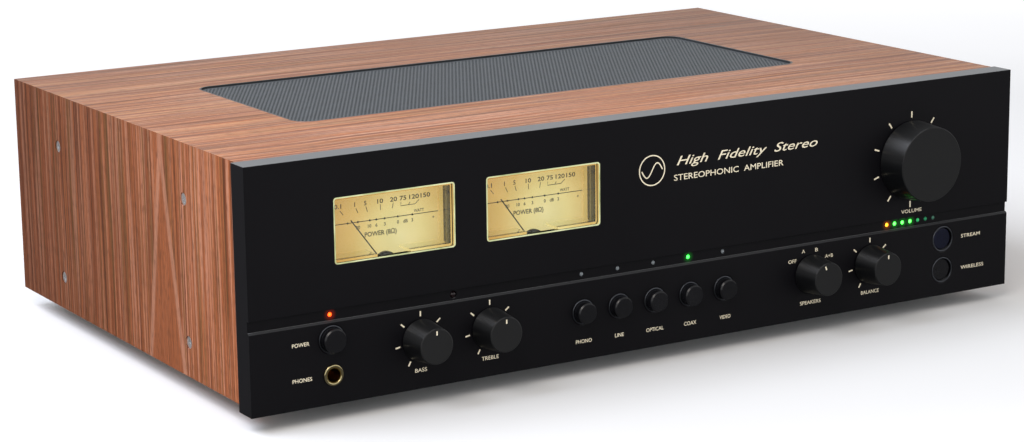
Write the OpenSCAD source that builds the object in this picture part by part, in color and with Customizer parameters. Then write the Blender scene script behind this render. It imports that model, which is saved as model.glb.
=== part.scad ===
// Integrated stereo amplifier: wooden case, thick front panel with two level meters,
// rotary controls and push buttons, and a steel chassis with its electronics.
// X runs along the width, the front panel faces -Y and Z is up. The origin is on the floor,
// under the middle of the whole outline. Heights on the panel are measured from its lower edge.

/* [Front panel] */
// Width of the front panel and of the wooden case
panel_w = 435; // [425:1:540]
// Height of the front panel
panel_h = 113; // [110:1:140]
// Depth of the panel's rim
panel_t = 12.5; // [12.4:0.1:16]
// Thickness of the panel's front wall
face_t = 3.5; // [3:0.1:4.2]
// Width of the rim around the pocket behind the front wall
rim_w = 6; // [4:0.1:6]
// Height of the groove that runs across the panel
groove_h = 5.2; // [3:0.1:7]
// Depth of that groove
groove_depth = 1.5; // [1:0.1:2]
// Width of the sloping edge below the groove
groove_lip = 0.8; // [0.2:0.1:0.9]
// Height of the groove's middle above the panel's lower edge
groove_z = 41.2; // [38:0.1:43]
// Radius of the bosses that take the panel screws
boss_r = 4; // [3:0.1:5]
// Distance of the bosses from the panel's side edges
boss_inset = 19.5; // [18:0.1:22]
// Heights of the lower and upper bosses
boss_zs = [14, 93]; // [8:0.1:95]

/* [Case] */
// Depth of the wooden case behind the panel
case_d = 262; // [250:1:330]
// Distance of the wooden case's sides from the panel's side edges
case_inset = 2; // [0:0.1:2.5]
// Thickness of the wooden boards
wood_t = 12; // [9:0.1:15]
// Height of the case's lower edge above the panel's lower edge
case_lift = 2.4; // [0:0.1:4]
// Height of the panel's lower edge above the floor
floor_gap = 8; // [4:0.1:15]
// Length of the vent grille
grille_w = 293; // [200:1:340]
// Depth of the vent grille
grille_d = 117; // [90:1:150]
// Distance of the grille's middle to the right of the case's middle
grille_x = -4; // [-10:0.5:10]
// Corner radius of the vent grille
grille_r = 9; // [4:0.5:20]
// Distance from the front face back to the grille
grille_from_front = 79; // [60:0.5:90]
// Width of the grille's dark frame
grille_frame_w = 1; // [1:0.1:4]
// Depth of the rebate that holds the frame and the mesh
rebate_depth = 2.5; // [2:0.1:4]
// Width of the ledge under the mesh
ledge_w = 7; // [4:0.1:12]
// Thickness of the mesh plate
mesh_t = 1.6; // [1:0.1:2]
// Columns and rows of slots in the mesh plate
slot_grid = [12, 8]; // [2:1:14]
// Width of the webs between the slots
slot_web = 5; // [3:0.1:7]

/* [Case screws] */
// Radius of a side screw's head
side_head_r = 3; // [2.5:0.1:4]
// Thickness of a side screw's head
side_head_t = 2; // [1.5:0.1:3]
// Depth of the head below the wood's face
side_head_sink = 0.5; // [0.1:0.1:2]
// Radius of the side screws' shanks
side_shank_r = 2; // [1.5:0.1:2.4]
// Distances of the side screws behind the front face
side_screw_ys = [68.5, 218.5]; // [40:0.5:240]
// Heights of the side screws
side_screw_zs = [19, 86.5]; // [15:0.5:92]

/* [Meters] */
// Width of a meter window
window_w = 62; // [50:0.5:66]
// Height of a meter window
window_h = 30.4; // [26:0.1:33]
// Corner radius of a meter window
window_r = 1.4; // [0.5:0.1:3]
// Distance of the first window's middle from the panel's left edge
meter_inset = 74.2; // [60:0.1:80]
// Distance between the two windows' middles
meter_pitch = 78.5; // [76:0.1:84]
// Height of the windows' middle
meter_z = 79; // [76:0.1:82]
// Height of the needle pivot
pivot_z = 58.1; // [56:0.1:58.5]
// Length of a needle from its pivot to its tip
needle_len = 27.2; // [20:0.1:30]
// Width of a needle
needle_w = 0.5; // [0.3:0.1:1]
// Angle of a resting needle to the left of upright
needle_rest = 36.6; // [25:0.1:45]
// Thickness of the clear cover's front wall
cover_front_t = 2.6; // [1.5:0.1:3]
// Thickness of the clear cover's side walls
cover_wall = 1.5; // [1:0.1:2]
// Depth from the panel's front face to the dial
dial_depth = 14; // [13:0.1:15]
// Radius of the rounded cover over the needle pivot
bridge_r = 6; // [4:0.1:6.5]

/* [Knobs] */
// Radius of a small knob at its skirt
knob_base_r = 9.8; // [8:0.1:10.5]
// Radius of a small knob at its face
knob_face_r = 8.4; // [6:0.1:10]
// Distance of a small knob's face from the panel
knob_out = 15; // [12:0.1:22]
// Radius of the volume knob at its skirt
volume_base_r = 20; // [16:0.1:22]
// Radius of the volume knob at its face
volume_face_r = 18.9; // [14:0.1:21]
// Distance of the volume knob's face from the panel
volume_out = 16.5; // [12:0.1:25]
// Bevel around each knob's face
knob_bevel = 0.4; // [0.1:0.1:1]
// Air gap between the knobs and the panel
knob_gap = 0.8; // [0.4:0.1:2]
// Thickness of a knob's face over its shaft
knob_wall = 4; // [2:0.1:6]
// Radius of the control shafts
shaft_r = 3; // [2.5:0.1:3.6]
// Radius of the threaded bushings
bushing_r = 4.5; // [4:0.1:5.5]
// Radius of the hexagonal bushing nuts across their corners
nut_r = 7; // [6:0.1:8]
// Thickness of the bushing nuts
nut_t = 2; // [1:0.1:2.4]
// Radius and depth of a small control's body
control_size = [8.5, 9]; // [6:0.5:14]
// Radius and depth of the volume encoder's body
encoder_size = [12, 12]; // [6:0.5:16]
// Distances of the bass and treble controls from the panel's left edge
tone_insets = [86, 122.6]; // [80:0.1:130]
// Distance of the balance control from the right edge
balance_inset = 90; // [85:0.1:94]
// Distance of the speaker selector from the right edge
speakers_inset = 127.2; // [122:0.1:132]
// Distance of the volume control from the right edge
volume_inset = 64.6; // [58:0.1:70]
// Height of the volume control
volume_z = 73.6; // [70:0.1:78]
// Height of the row of small knobs and source buttons
row_z = 23.1; // [20:0.1:26]

/* [Push buttons] */
// Radius of a source button's cap
source_r = 5.2; // [4:0.1:6.3]
// Distance of a source button's face from the panel
source_out = 4.6; // [3:0.1:8]
// Place of the first source button, from the middle of the panel
source_x0 = -43.6; // [-46:0.1:-40]
// Distance between two source buttons
source_pitch = 20.35; // [18:0.05:22]
// Number of source buttons in the row
source_count = 5; // [5:1:5]
// Radius of the power button's cap
power_r = 5.7; // [4:0.1:6.5]
// Distance of the power button's face from the panel
power_out = 4.2; // [3:0.1:8]
// Distance of the power button and phones socket from the left edge
power_inset = 40.8; // [38:0.1:50]
// Height of the power button
power_z = 30; // [28:0.1:31.5]
// Radius of the two round window buttons
window_button_r = 5.8; // [4:0.1:6]
// Depth of the window buttons' faces below the panel's face
window_button_sink = 0.9; // [0.2:0.1:1.5]
// Distance of the window buttons from the right edge
window_button_inset = 42.6; // [38:0.1:46]
// Heights of the two window buttons
window_button_zs = [29.6, 13.3]; // [13:0.1:30]
// Gap around each cap in its hole
cap_gap = 0.4; // [0.3:0.05:0.8]
// Chamfer at the mouth of each button hole
mouth_chamfer = 0.8; // [0.2:0.1:1.2]
// Bevel around each cap's face
cap_bevel = 0.6; // [0.1:0.1:1]
// Travel of the power and source buttons
button_travel = 1.2; // [0.5:0.1:1.5]
// Travel of the window buttons
window_travel = 0.6; // [0.3:0.1:1]
// Width of the flange that keeps a cap in its hole
cap_flange_w = 1.1; // [0.9:0.1:1.2]
// Thickness of that flange
cap_flange_t = 1.2; // [0.8:0.1:1.4]
// Radius of a cap's stem
stem_r = 1.5; // [1:0.1:2]

/* [Front board] */
// Thickness of the circuit boards
board_t = 1.6; // [1:0.1:1.8]
// Gap between the front board and the steel plate behind it
board_gap = 0.3; // [0.2:0.1:0.5]
// Heights of the front board's lower and upper edges
front_board_zs = [8, 47]; // [7:0.5:48]
// Distance of the front board's ends from the panel's side edges
front_board_inset = 27.5; // [26:0.5:30]
// Width and height of a push switch on the front board
tact_size = [6, 2.4]; // [2:0.1:6]
// Radius of the indicator lamps
lamp_r = 1.1; // [0.8:0.05:1.5]
// Distance between two lamps of the volume row
lamp_pitch = 5; // [3.5:0.1:6]
// Distance of the lamp row's middle to the right of the volume knob's middle
lamp_row_offset = 1.6; // [-2:0.1:4]
// Number of lamps in the volume row
lamp_count = 7; // [3:1:9]
// Distance of the remote control eye from the left edge
eye_inset = 104.3; // [98:0.1:110]
// Radius of the remote control eye
eye_r = 1.8; // [1:0.1:2.2]

/* [Phones socket] */
// Bore radius of the phones socket, for a 6.35 mm plug
phones_bore_r = 3.25; // [3.2:0.01:3.4]
// Radius of the socket's front ring
phones_ring_r = 4.8; // [4.4:0.1:5.4]
// Distance that the ring stands out from the panel
phones_ring_out = 0.8; // [0.3:0.1:2]
// Height of the phones socket
phones_z = 13.7; // [13:0.1:15]
// Width and depth of the socket's body
phones_body = [12, 26]; // [10:0.5:30]

/* [Chassis] */
// Thickness of the steel sheet of the tray
sheet_t = 1.2; // [0.8:0.1:2]
// Thickness of the plates behind the front panel and at the rear
plate_t = 1.5; // [1:0.1:2]
// Height of the tray's side walls
tray_wall_h = 90; // [85:1:92]
// Distance of the rear plate's face from the case's rear edge
rear_inset = 4; // [1:0.5:10]
// Gap between the steelwork and the wood
steel_gap = 0.3; // [0.1:0.1:1]
// Radius of a foot
foot_r = 20; // [14:0.5:25]
// Distance of the feet from the sides
foot_inset_x = 50; // [40:1:60]
// Distance of the feet from the front face
foot_inset_front = 50; // [40:1:60]
// Distance of the feet from the case's rear edge
foot_inset_rear = 40; // [30:1:60]
// Radius of the screws of the panel, the feet and the boards
screw_r = 1.5; // [1:0.1:2]
// Radius of those screws' heads
screw_head_r = 3; // [2.5:0.1:3.5]
// Thickness of those screws' heads
screw_head_t = 1.8; // [1:0.1:2]

/* [Electronics] */
// Outer and inner radius of the ring transformer
core_radii = [52, 16]; // [10:1:60]
// Height of the ring transformer
core_h = 50; // [35:1:60]
// Rounding of the ring transformer's edges
core_round = 8; // [2:1:12]
// Place of the transformer from the left edge and from the panel's back
core_place = [87, 92]; // [80:1:110]
// Radius of the transformer's clamping washer
washer_r = 26; // [20:1:32]
// Thickness of the clamping washer
washer_t = 3; // [2:0.1:5]
// Radius of the transformer bolt
bolt_r = 4; // [3:0.1:5]
// Length and height of the heat sink
sink_size = [170, 60]; // [40:1:180]
// Thickness of the heat sink's back plate
sink_base_t = 6; // [4:0.5:8]
// Number of fins
fin_count = 19; // [10:1:22]
// Length of the fins
fin_len = 35; // [20:1:45]
// Thickness of a fin
fin_t = 1.8; // [1:0.1:2.5]
// Width and depth of the amplifier board
amp_board_size = [176, 96]; // [80:1:180]
// Width and depth of the supply board
supply_board_size = [128, 80]; // [60:1:130]
// Distance of the boards' outer ends from the side edges
board_inset = 24; // [20:1:26]
// Distance of the boards from the rear plate
board_rear_gap = 22; // [18:1:24]
// Height of the board stands
stand_h = 8; // [4:0.5:12]
// Radius of the board stands
stand_r = 3; // [2.5:0.1:4]
// Distance of the stands from the boards' edges
stand_inset = 6; // [5:0.5:8]
// Radius and height of a supply capacitor
capacitor_size = [14, 42]; // [8:1:50]
// Number of supply capacitors
capacitor_count = 3; // [2:1:3]
// Distance between two supply capacitors
capacitor_pitch = 33; // [30:1:36]

/* [Rear sockets] */
// Radius of a phono socket's shell
rca_shell_r = 4.15; // [4.1:0.01:4.2]
// Length of that shell beyond its flange
rca_shell_len = 9; // [8:0.1:10]
// Radius of a phono socket's centre hole
rca_pin_r = 1.6; // [1.5:0.05:1.8]
// Radius and thickness of a phono socket's flange
rca_flange = [6, 2]; // [1:0.1:7]
// Distance of the first phono socket column from the right edge
rca_inset = 44; // [40:0.5:50]
// Distance between two phono socket columns
rca_pitch = 22; // [18:0.5:24]
// Number of phono socket columns
rca_columns = 4; // [4:1:4]
// Heights of the two phono socket rows
rca_zs = [32, 56]; // [25:0.5:60]
// Height of the ground terminal
ground_z = 80; // [72:0.5:85]
// Radius of the ground stud
ground_stud_r = 2; // [1.5:0.1:2.5]
// Radius and thickness of the ground nut
ground_nut_size = [5, 6]; // [4:0.1:8]
// Distance of the first digital socket from the middle
digital_x0 = 82; // [70:0.5:86]
// Distance between two digital sockets
digital_pitch = 26; // [24:0.5:28]
// Height of the digital sockets
digital_z = 32; // [28:0.5:40]
// Inner width and height of the optical, network, serial and video sockets
digital_sizes = [[8, 8], [12, 8], [12.6, 5], [15, 5.2]]; // [4:0.1:16]
// Wall of the digital sockets' shells
digital_wall = 1; // [0.5:0.1:1.5]
// Depth of the digital sockets
digital_depth = 13; // [10:0.5:15]
// Radius of a speaker post's insulating base
post_base_r = 8; // [7:0.1:9]
// Thickness of that base
post_base_t = 5; // [3:0.1:8]
// Radius of a speaker post's metal stud
post_stud_r = 3.2; // [2.9:0.05:3.6]
// Radius of a speaker post's cap
post_cap_r = 7; // [6:0.1:8]
// Length of a speaker post's cap
post_cap_len = 16; // [12:0.5:20]
// Bore radius of a speaker post, for a 4 mm plug
banana_r = 2.05; // [2.02:0.01:2.2]
// Depth of that bore
banana_depth = 14; // [10:0.5:16]
// Running clearance of the caps, shafts and nuts
run_gap = 0.05; // [0.02:0.01:0.1]
// Distances of the speaker posts from the middle, towards the mains side
post_xs = [20, 40, 68, 88]; // [10:0.5:100]
// Heights of the speaker post rows
post_zs = [34, 68]; // [28:0.5:80]

/* [Mains] */
// Distance of the mains inlet from the left edge
inlet_inset = 56; // [50:0.5:60]
// Height of the mains inlet and its switch
mains_z = 42; // [34:0.5:50]
// Width and height of the inlet's socket
inlet_size = [24.4, 17]; // [15:0.1:26]
// Depth of the inlet's socket
inlet_depth = 17; // [15:0.5:20]
// Wall of the inlet's housing
inlet_wall = 2; // [1.5:0.1:3]
// Width, height and length of a contact blade
blade_size = [2, 4, 10.5]; // [1:0.1:12]
// Distance between the contact blades
blade_pitch = 7; // [6:0.1:8]
// Distance of the mains switch from the inlet
switch_pitch = 38; // [34:0.5:44]
// Width and height of the switch's opening
switch_size = [12, 21]; // [10:0.1:24]
// Depth of the switch's housing
switch_depth = 16; // [14:0.5:20]
// Radius that the rocker sweeps
rocker_r = 10; // [8:0.1:10.2]
// Tilt of the rocker to each side
rocker_tilt = 11; // [8:1:14]

/* [Hidden] */
$fn = 64;
eps = 0.5;
led_tip = 0.5;
reach_front = max(knob_out, volume_out);
post_reach = post_base_t + run_gap + post_cap_len;
depth_all = reach_front + panel_t + case_d - rear_inset + post_reach;
half_w = panel_w / 2;
face_y = reach_front - depth_all / 2;
wall_y = face_y + face_t;
back_y = face_y + panel_t;
steel_y = back_y + plate_t;
case_back_y = back_y + case_d;
rear_y = case_back_y - rear_inset;
rear_in_y = rear_y - plate_t;
panel_z0 = floor_gap;
top_z = panel_z0 + panel_h;
case_z0 = panel_z0 + case_lift;
under_z = top_z - wood_t;
tray_top_z = case_z0 + sheet_t;
case_half = half_w - case_inset;
inner_half = case_half - wood_t - steel_gap;
grille_y = face_y + grille_from_front + grille_d / 2;
mesh_w = grille_w - 2 * grille_frame_w;
mesh_d = grille_d - 2 * grille_frame_w;
board_y = back_y - board_gap - board_t;
tact_y = board_y - tact_size[1];
power_x = power_inset - half_w;
eye_x = eye_inset - half_w;
bass_x = tone_insets[0] - half_w;
treble_x = tone_insets[1] - half_w;
balance_x = half_w - balance_inset;
speakers_x = half_w - speakers_inset;
volume_x = half_w - volume_inset;
window_button_x = half_w - window_button_inset;
meter_xs = [meter_inset - half_w, meter_inset + meter_pitch - half_w];
small_controls = [for (x = [bass_x, treble_x, balance_x, speakers_x]) [x, row_z]];
dial_y = face_y + dial_depth;
dial_t = 0.8;
bridge_y = dial_y - 3.6;
bridge_t = 1.4;
pin_y = bridge_y + 0.6;
needle_y = dial_y - 1.3;
needle_t = 0.3;
hub_r = 2;
hub_t = 1.2;
pivot_r = 0.5;
movement_half = 14;
movement_zs = [50, 74];
movement_t = 14;
cover_gap = 0.1;
flange_t = 1.5;
flange_w = 3;
foot_x = half_w - foot_inset_x;
foot_ys = [face_y + foot_inset_front, case_back_y - foot_inset_rear];
core_x = core_place[0] - half_w;
core_y = back_y + core_place[1];
amp_board_x = half_w - board_inset - amp_board_size[0] / 2;
supply_board_x = board_inset - half_w + supply_board_size[0] / 2;
board_back_y = rear_in_y - board_rear_gap;
sink_y = board_back_y - amp_board_size[1] - sink_base_t - 4;
ground_x = half_w - rca_inset;
inlet_x = inlet_inset - half_w;
switch_x = inlet_x + switch_pitch;
rocker_y = rear_y - 3;
rocker_pin_r = 1.2;
socket_lip = 2;
screw_sink = 4;

function source_x(i) = source_x0 + i * source_pitch;
function rca_x(i) = half_w - rca_inset - i * rca_pitch;
function digital_x(i) = digital_x0 - i * digital_pitch;
function corner_xs(middle, w, inset) = [middle - w / 2 + inset, middle + w / 2 - inset];

// A rectangle with round corners about the origin, from two squares and four circles
module rounded_rect(w, h, r) {
  square([w - 2 * r, h], center = true);
  square([w, h - 2 * r], center = true);
  for (x = [-1, 1])
    for (y = [-1, 1])
      translate([x * (w / 2 - r), y * (h / 2 - r)]) circle(r);
}

// An upright plate that starts at y and is t thick; its outline is drawn in X and Z
module plate_y(y, t) {
  translate([0, y + t, 0]) rotate([90, 0, 0]) linear_extrude(t) children();
}

// A turned piece on an axis along Y; its outline is drawn in radius and Y
module turned_y(x, z) {
  translate([x, 0, z]) rotate([-90, 0, 0]) rotate_extrude() children();
}

// A round bar or hole along Y
module bar_y(x, y, z, r, len) {
  translate([x, y, z]) rotate([-90, 0, 0]) cylinder(r = r, h = len);
}

// A box from its low corner to its high corner
module box_between(low, high) {
  translate(low) cube(high - low);
}

// Wooden case

module top_outline() {
  polygon([
    [-case_half, top_z], [case_half, top_z],
    [case_half - wood_t, under_z], [wood_t - case_half, under_z]
  ]);
}

module side_outline() {
  polygon([
    [case_half, case_z0], [case_half, top_z],
    [case_half - wood_t, under_z], [case_half - wood_t, case_z0]
  ]);
}

module case_top() {
  color("#b07a58") difference() {
    plate_y(back_y, case_d) top_outline();
    translate([grille_x, grille_y, top_z - rebate_depth])
      linear_extrude(rebate_depth + eps) rounded_rect(grille_w, grille_d, grille_r);
    translate([grille_x, grille_y, under_z - eps]) linear_extrude(wood_t)
      rounded_rect(grille_w - 2 * ledge_w, grille_d - 2 * ledge_w, grille_r - grille_frame_w);
  }
}

module side_screw_places() {
  for (y = side_screw_ys)
    for (z = side_screw_zs)
      translate([case_half, face_y + y, panel_z0 + z]) rotate([0, -90, 0]) children();
}

module case_side() {
  difference() {
    plate_y(back_y, case_d) side_outline();
    side_screw_places() {
      translate([0, 0, -eps])
        cylinder(r = side_head_r + cover_gap, h = side_head_sink + side_head_t + eps);
      cylinder(r = side_shank_r + cover_gap, h = wood_t + eps);
    }
  }
}

module case_side_right() {
  color("#a5684a") case_side();
}

module case_side_left() {
  color("#a5684a") mirror([1, 0, 0]) case_side();
}

module side_screw() {
  difference() {
    union() {
      translate([0, 0, side_head_sink]) cylinder(r = side_head_r, h = side_head_t);
      translate([0, 0, side_head_sink])
        cylinder(r = side_shank_r, h = wood_t + steel_gap + 2 * sheet_t);
    }
    for (turn = [0, 90])
      rotate([0, 0, turn]) cube([side_head_r, 0.7, 2 * (side_head_sink + 0.9)], center = true);
  }
}

module case_screws() {
  color("silver") {
    side_screw_places() side_screw();
    mirror([1, 0, 0]) side_screw_places() side_screw();
  }
}

module grille_frame() {
  color("#202327") translate([grille_x, grille_y, top_z - rebate_depth]) linear_extrude(rebate_depth) {
    difference() {
      rounded_rect(grille_w, grille_d, grille_r);
      rounded_rect(mesh_w, mesh_d, grille_r - grille_frame_w);
    }
  }
}

module vent_grille() {
  pitch = [(mesh_w - 2 * ledge_w) / slot_grid[0], (mesh_d - 2 * ledge_w) / slot_grid[1]];
  color("#4a5058") translate([grille_x, grille_y, top_z - rebate_depth]) linear_extrude(mesh_t) difference() {
    rounded_rect(mesh_w, mesh_d, grille_r - grille_frame_w);
    for (i = [0 : slot_grid[0] - 1])
      for (j = [0 : slot_grid[1] - 1])
        translate([
          (i - (slot_grid[0] - 1) / 2) * pitch[0], (j - (slot_grid[1] - 1) / 2) * pitch[1]
        ]) square([pitch[0] - slot_web, pitch[1] - slot_web], center = true);
  }
}

// Front panel and the plate behind it

module boss_places() {
  for (x = [boss_inset - half_w, half_w - boss_inset])
    for (z = boss_zs)
      translate([x, 0, panel_z0 + z]) children();
}

module button_hole(x, z, r) {
  turned_y(x, panel_z0 + z) polygon([
    [0, face_y - eps], [r + cap_gap + mouth_chamfer + eps, face_y - eps],
    [r + cap_gap, face_y + mouth_chamfer], [r + cap_gap, wall_y + eps], [0, wall_y + eps]
  ]);
}

module lamp_places() {
  translate([power_x, 0, panel_z0 + groove_z]) children();
  for (i = [0 : source_count - 1])
    translate([source_x(i), 0, panel_z0 + groove_z]) children();
  for (i = [0 : lamp_count - 1])
    translate([volume_x + lamp_row_offset + (i - (lamp_count - 1) / 2) * lamp_pitch, 0, panel_z0 + groove_z])
      children();
}

module panel_body() {
  translate([0, 0, panel_z0 + panel_h / 2]) difference() {
    plate_y(face_y, panel_t) square([panel_w, panel_h], center = true);
    plate_y(wall_y, panel_t) square([panel_w - 2 * rim_w, panel_h - 2 * rim_w], center = true);
  }
  boss_places() bar_y(0, wall_y, 0, boss_r, back_y - wall_y);
}

module groove_cut() {
  low = panel_z0 + groove_z - groove_h / 2;
  high = low + groove_h;
  deep = face_y + groove_depth;
  translate([-half_w - eps, 0, 0]) rotate([90, 0, 90]) linear_extrude(panel_w + 2 * eps) polygon([
    [face_y - eps, low - groove_lip - eps], [face_y + groove_lip, low], [deep, low], [deep, high],
    [face_y - eps, high]
  ]);
}

module front_panel() {
  color("#1c1b1f") difference() {
    panel_body();
    groove_cut();
    for (x = meter_xs)
      translate([x, 0, panel_z0 + meter_z]) plate_y(face_y - eps, face_t + 2 * eps)
        rounded_rect(window_w, window_h, window_r);
    for (c = small_controls)
      bar_y(c[0], face_y - eps, panel_z0 + c[1], bushing_r, face_t + 2 * eps);
    bar_y(volume_x, face_y - eps, panel_z0 + volume_z, bushing_r, face_t + 2 * eps);
    for (i = [0 : source_count - 1])
      button_hole(source_x(i), row_z, source_r);
    button_hole(power_x, power_z, power_r);
    for (z = window_button_zs)
      button_hole(window_button_x, z, window_button_r);
    bar_y(power_x, face_y - eps, panel_z0 + phones_z, phones_ring_r, face_t + 2 * eps);
    bar_y(eye_x, face_y - eps, panel_z0 + groove_z, eye_r, face_t + 2 * eps);
    lamp_places() bar_y(0, face_y - eps, 0, lamp_r, face_t + 2 * eps);
    boss_places() bar_y(0, wall_y, 0, screw_r, panel_t);
  }
}

module sub_panel() {
  plate_z0 = case_z0;
  plate_z1 = under_z - steel_gap;
  color("#9a9da0") difference() {
    plate_y(back_y, plate_t) translate([-inner_half, plate_z0]) square([2 * inner_half, plate_z1 - plate_z0]);
    for (x = meter_xs)
      translate([x, 0, panel_z0]) plate_y(back_y - eps, plate_t + 2 * eps)
        translate([-window_w / 2 - flange_w, movement_zs[0] - eps])
          square([window_w + 2 * flange_w, meter_z + window_h / 2 + flange_w - movement_zs[0] + eps]);
    for (c = small_controls)
      bar_y(c[0], back_y - eps, panel_z0 + c[1], bushing_r, plate_t + 2 * eps);
    bar_y(volume_x, back_y - eps, panel_z0 + volume_z, bushing_r, plate_t + 2 * eps);
    phones_cut(back_y, plate_t);
    boss_places() bar_y(0, back_y - eps, 0, screw_r, plate_t + 2 * eps);
  }
}

module phones_cut(y, t) {
  translate([power_x, 0, panel_z0 + phones_z]) plate_y(y - eps, t + 2 * eps)
    square(phones_body[0] + 2 * board_gap, center = true);
}

// Meters

module meter_cover(x) {
  w = window_w - 2 * cover_gap;
  h = window_h - 2 * cover_gap;
  front_y = face_y + 2 * cover_gap;
  translate([x, 0, panel_z0 + meter_z]) difference() {
    union() {
      plate_y(front_y, dial_y - front_y) rounded_rect(w, h, window_r - cover_gap);
      plate_y(wall_y, flange_t) rounded_rect(w + 2 * flange_w, h + 2 * flange_w, window_r);
    }
    plate_y(front_y + cover_front_t, dial_depth) square([w - 2 * cover_wall, h - 2 * cover_wall], center = true);
    translate([0, 0, -h / 2]) plate_y(front_y + cover_front_t, dial_depth)
      square([2 * bridge_r + 5, 4 * cover_wall], center = true);
  }
}

module meter_covers() {
  color("#dfe6c8") for (x = meter_xs)
    meter_cover(x);
}

module meter_dials() {
  low = meter_z - window_h / 2 - 2;
  high = meter_z + window_h / 2 + 2;
  color("#ecd58a") for (x = meter_xs)
    translate([x, 0, panel_z0]) plate_y(dial_y, dial_t)
      translate([-window_w / 2 - 2, low]) square([window_w + 4, high - low]);
}

module meter_movement(x) {
  low = panel_z0 + movement_zs[0];
  high = panel_z0 + movement_zs[1];
  body_y = dial_y + dial_t;
  bridge_z = panel_z0 + pivot_z;
  translate([x, 0, 0]) difference() {
    union() {
      box_between([-movement_half, body_y, low], [movement_half, body_y + movement_t, high]);
      box_between([-bridge_r, bridge_y, low], [bridge_r, bridge_y + bridge_t, bridge_z]);
      bar_y(0, bridge_y, bridge_z, bridge_r, bridge_t);
      box_between([-bridge_r, bridge_y, low], [bridge_r, body_y, low + 4]);
    }
    bar_y(0, pin_y, bridge_z, pivot_r + run_gap, bridge_t);
    bar_y(0, body_y - eps, bridge_z, pivot_r + run_gap, 3 + eps);
  }
}

module meter_movements() {
  color("#141414") for (x = meter_xs)
    meter_movement(x);
}

module meter_needle(x) {
  translate([x, 0, panel_z0 + pivot_z]) {
    bar_y(0, pin_y + run_gap, 0, pivot_r, dial_y + dial_t + 2.5 - pin_y);
    bar_y(0, needle_y - hub_t / 2, 0, hub_r, hub_t);
    rotate([0, -needle_rest, 0])
      box_between([-needle_w / 2, needle_y, -hub_r - 1], [needle_w / 2, needle_y + needle_t, needle_len]);
  }
}

module meter_needle_left() {
  color("#101010") meter_needle(meter_xs[0]);
}

module meter_needle_right() {
  color("#101010") meter_needle(meter_xs[1]);
}

// Rotary controls

module knob(x, z, base_r, tip_r, out) {
  tip_y = face_y - out;
  skirt_y = face_y - knob_gap;
  turned_y(x, panel_z0 + z) polygon([
    [0, tip_y], [tip_r - knob_bevel, tip_y], [tip_r, tip_y + knob_bevel],
    [base_r, skirt_y], [shaft_r, skirt_y], [shaft_r, tip_y + knob_wall], [0, tip_y + knob_wall]
  ]);
}

module small_knob(x) {
  color("#19191b") knob(x, row_z, knob_base_r, knob_face_r, knob_out);
}

module volume_knob() {
  color("#19191b") knob(volume_x, volume_z, volume_base_r, volume_face_r, volume_out);
}

module bass_knob() {
  small_knob(bass_x);
}

module treble_knob() {
  small_knob(treble_x);
}

module balance_knob() {
  small_knob(balance_x);
}

module speakers_knob() {
  small_knob(speakers_x);
}

module shaft(x, z, out) {
  tip_y = face_y - out + knob_wall;
  color("#b8babc") bar_y(x, tip_y, panel_z0 + z, shaft_r, steel_y + 5 - tip_y);
}

module volume_shaft() {
  shaft(volume_x, volume_z, volume_out);
}

module bass_shaft() {
  shaft(bass_x, row_z, knob_out);
}

module treble_shaft() {
  shaft(treble_x, row_z, knob_out);
}

module balance_shaft() {
  shaft(balance_x, row_z, knob_out);
}

module speakers_shaft() {
  shaft(speakers_x, row_z, knob_out);
}

module rotary_control(x, z, size) {
  bore_r = shaft_r + run_gap;
  turned_y(x, panel_z0 + z) polygon([
    [bore_r, wall_y + 1], [bushing_r, wall_y + 1], [bushing_r, steel_y], [size[0], steel_y],
    [size[0], steel_y + size[1]], [0, steel_y + size[1]], [0, steel_y + 5 + eps], [bore_r, steel_y + 5 + eps]
  ]);
}

module rotary_controls() {
  color("#8d9092") {
    for (c = small_controls)
      rotary_control(c[0], c[1], control_size);
    rotary_control(volume_x, volume_z, encoder_size);
  }
}

module control_nut(x, z) {
  difference() {
    translate([x, back_y - nut_t, panel_z0 + z]) rotate([-90, 0, 0]) cylinder(r = nut_r, h = nut_t, $fn = 6);
    bar_y(x, back_y - nut_t - eps, panel_z0 + z, bushing_r, nut_t + 2 * eps);
  }
}

module control_nuts() {
  color("silver") {
    for (c = small_controls)
      control_nut(c[0], c[1]);
    control_nut(volume_x, volume_z);
  }
}

// Push buttons

module push_button(x, z, r, out, travel) {
  tip_y = face_y - out;
  flange_y = wall_y + cover_gap;
  end_y = tact_y - travel;
  color("#151517") turned_y(x, panel_z0 + z) polygon([
    [0, tip_y], [r - cap_bevel, tip_y], [r, tip_y + cap_bevel], [r, flange_y],
    [r + cap_flange_w, flange_y], [r + cap_flange_w, flange_y + cap_flange_t],
    [stem_r, flange_y + cap_flange_t], [stem_r, end_y], [0, end_y]
  ]);
}

module source_button(i) {
  push_button(source_x(i), row_z, source_r, source_out, button_travel);
}

module power_button() {
  push_button(power_x, power_z, power_r, power_out, button_travel);
}

module phono_button() {
  source_button(0);
}

module line_button() {
  source_button(1);
}

module optical_button() {
  source_button(2);
}

module coax_button() {
  source_button(3);
}

module video_button() {
  source_button(4);
}

module stream_button() {
  push_button(window_button_x, window_button_zs[0], window_button_r, -window_button_sink, window_travel);
}

module wireless_button() {
  push_button(window_button_x, window_button_zs[1], window_button_r, -window_button_sink, window_travel);
}

// Lamps, eye, front board and phones socket

module indicator_lamps() {
  tip_y = face_y + groove_depth - led_tip;
  color("#7dc48a") lamp_places() {
    translate([0, tip_y + lamp_r, 0]) sphere(lamp_r);
    bar_y(0, tip_y + lamp_r, 0, lamp_r, board_y - tip_y - lamp_r);
  }
}

module remote_eye() {
  tip_y = face_y + groove_depth - led_tip;
  color("#1a1012") translate([eye_x, 0, panel_z0 + groove_z]) {
    translate([0, tip_y + eye_r, 0]) sphere(eye_r);
    bar_y(0, tip_y + eye_r, 0, eye_r, board_y - tip_y - eye_r);
  }
}

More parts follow.
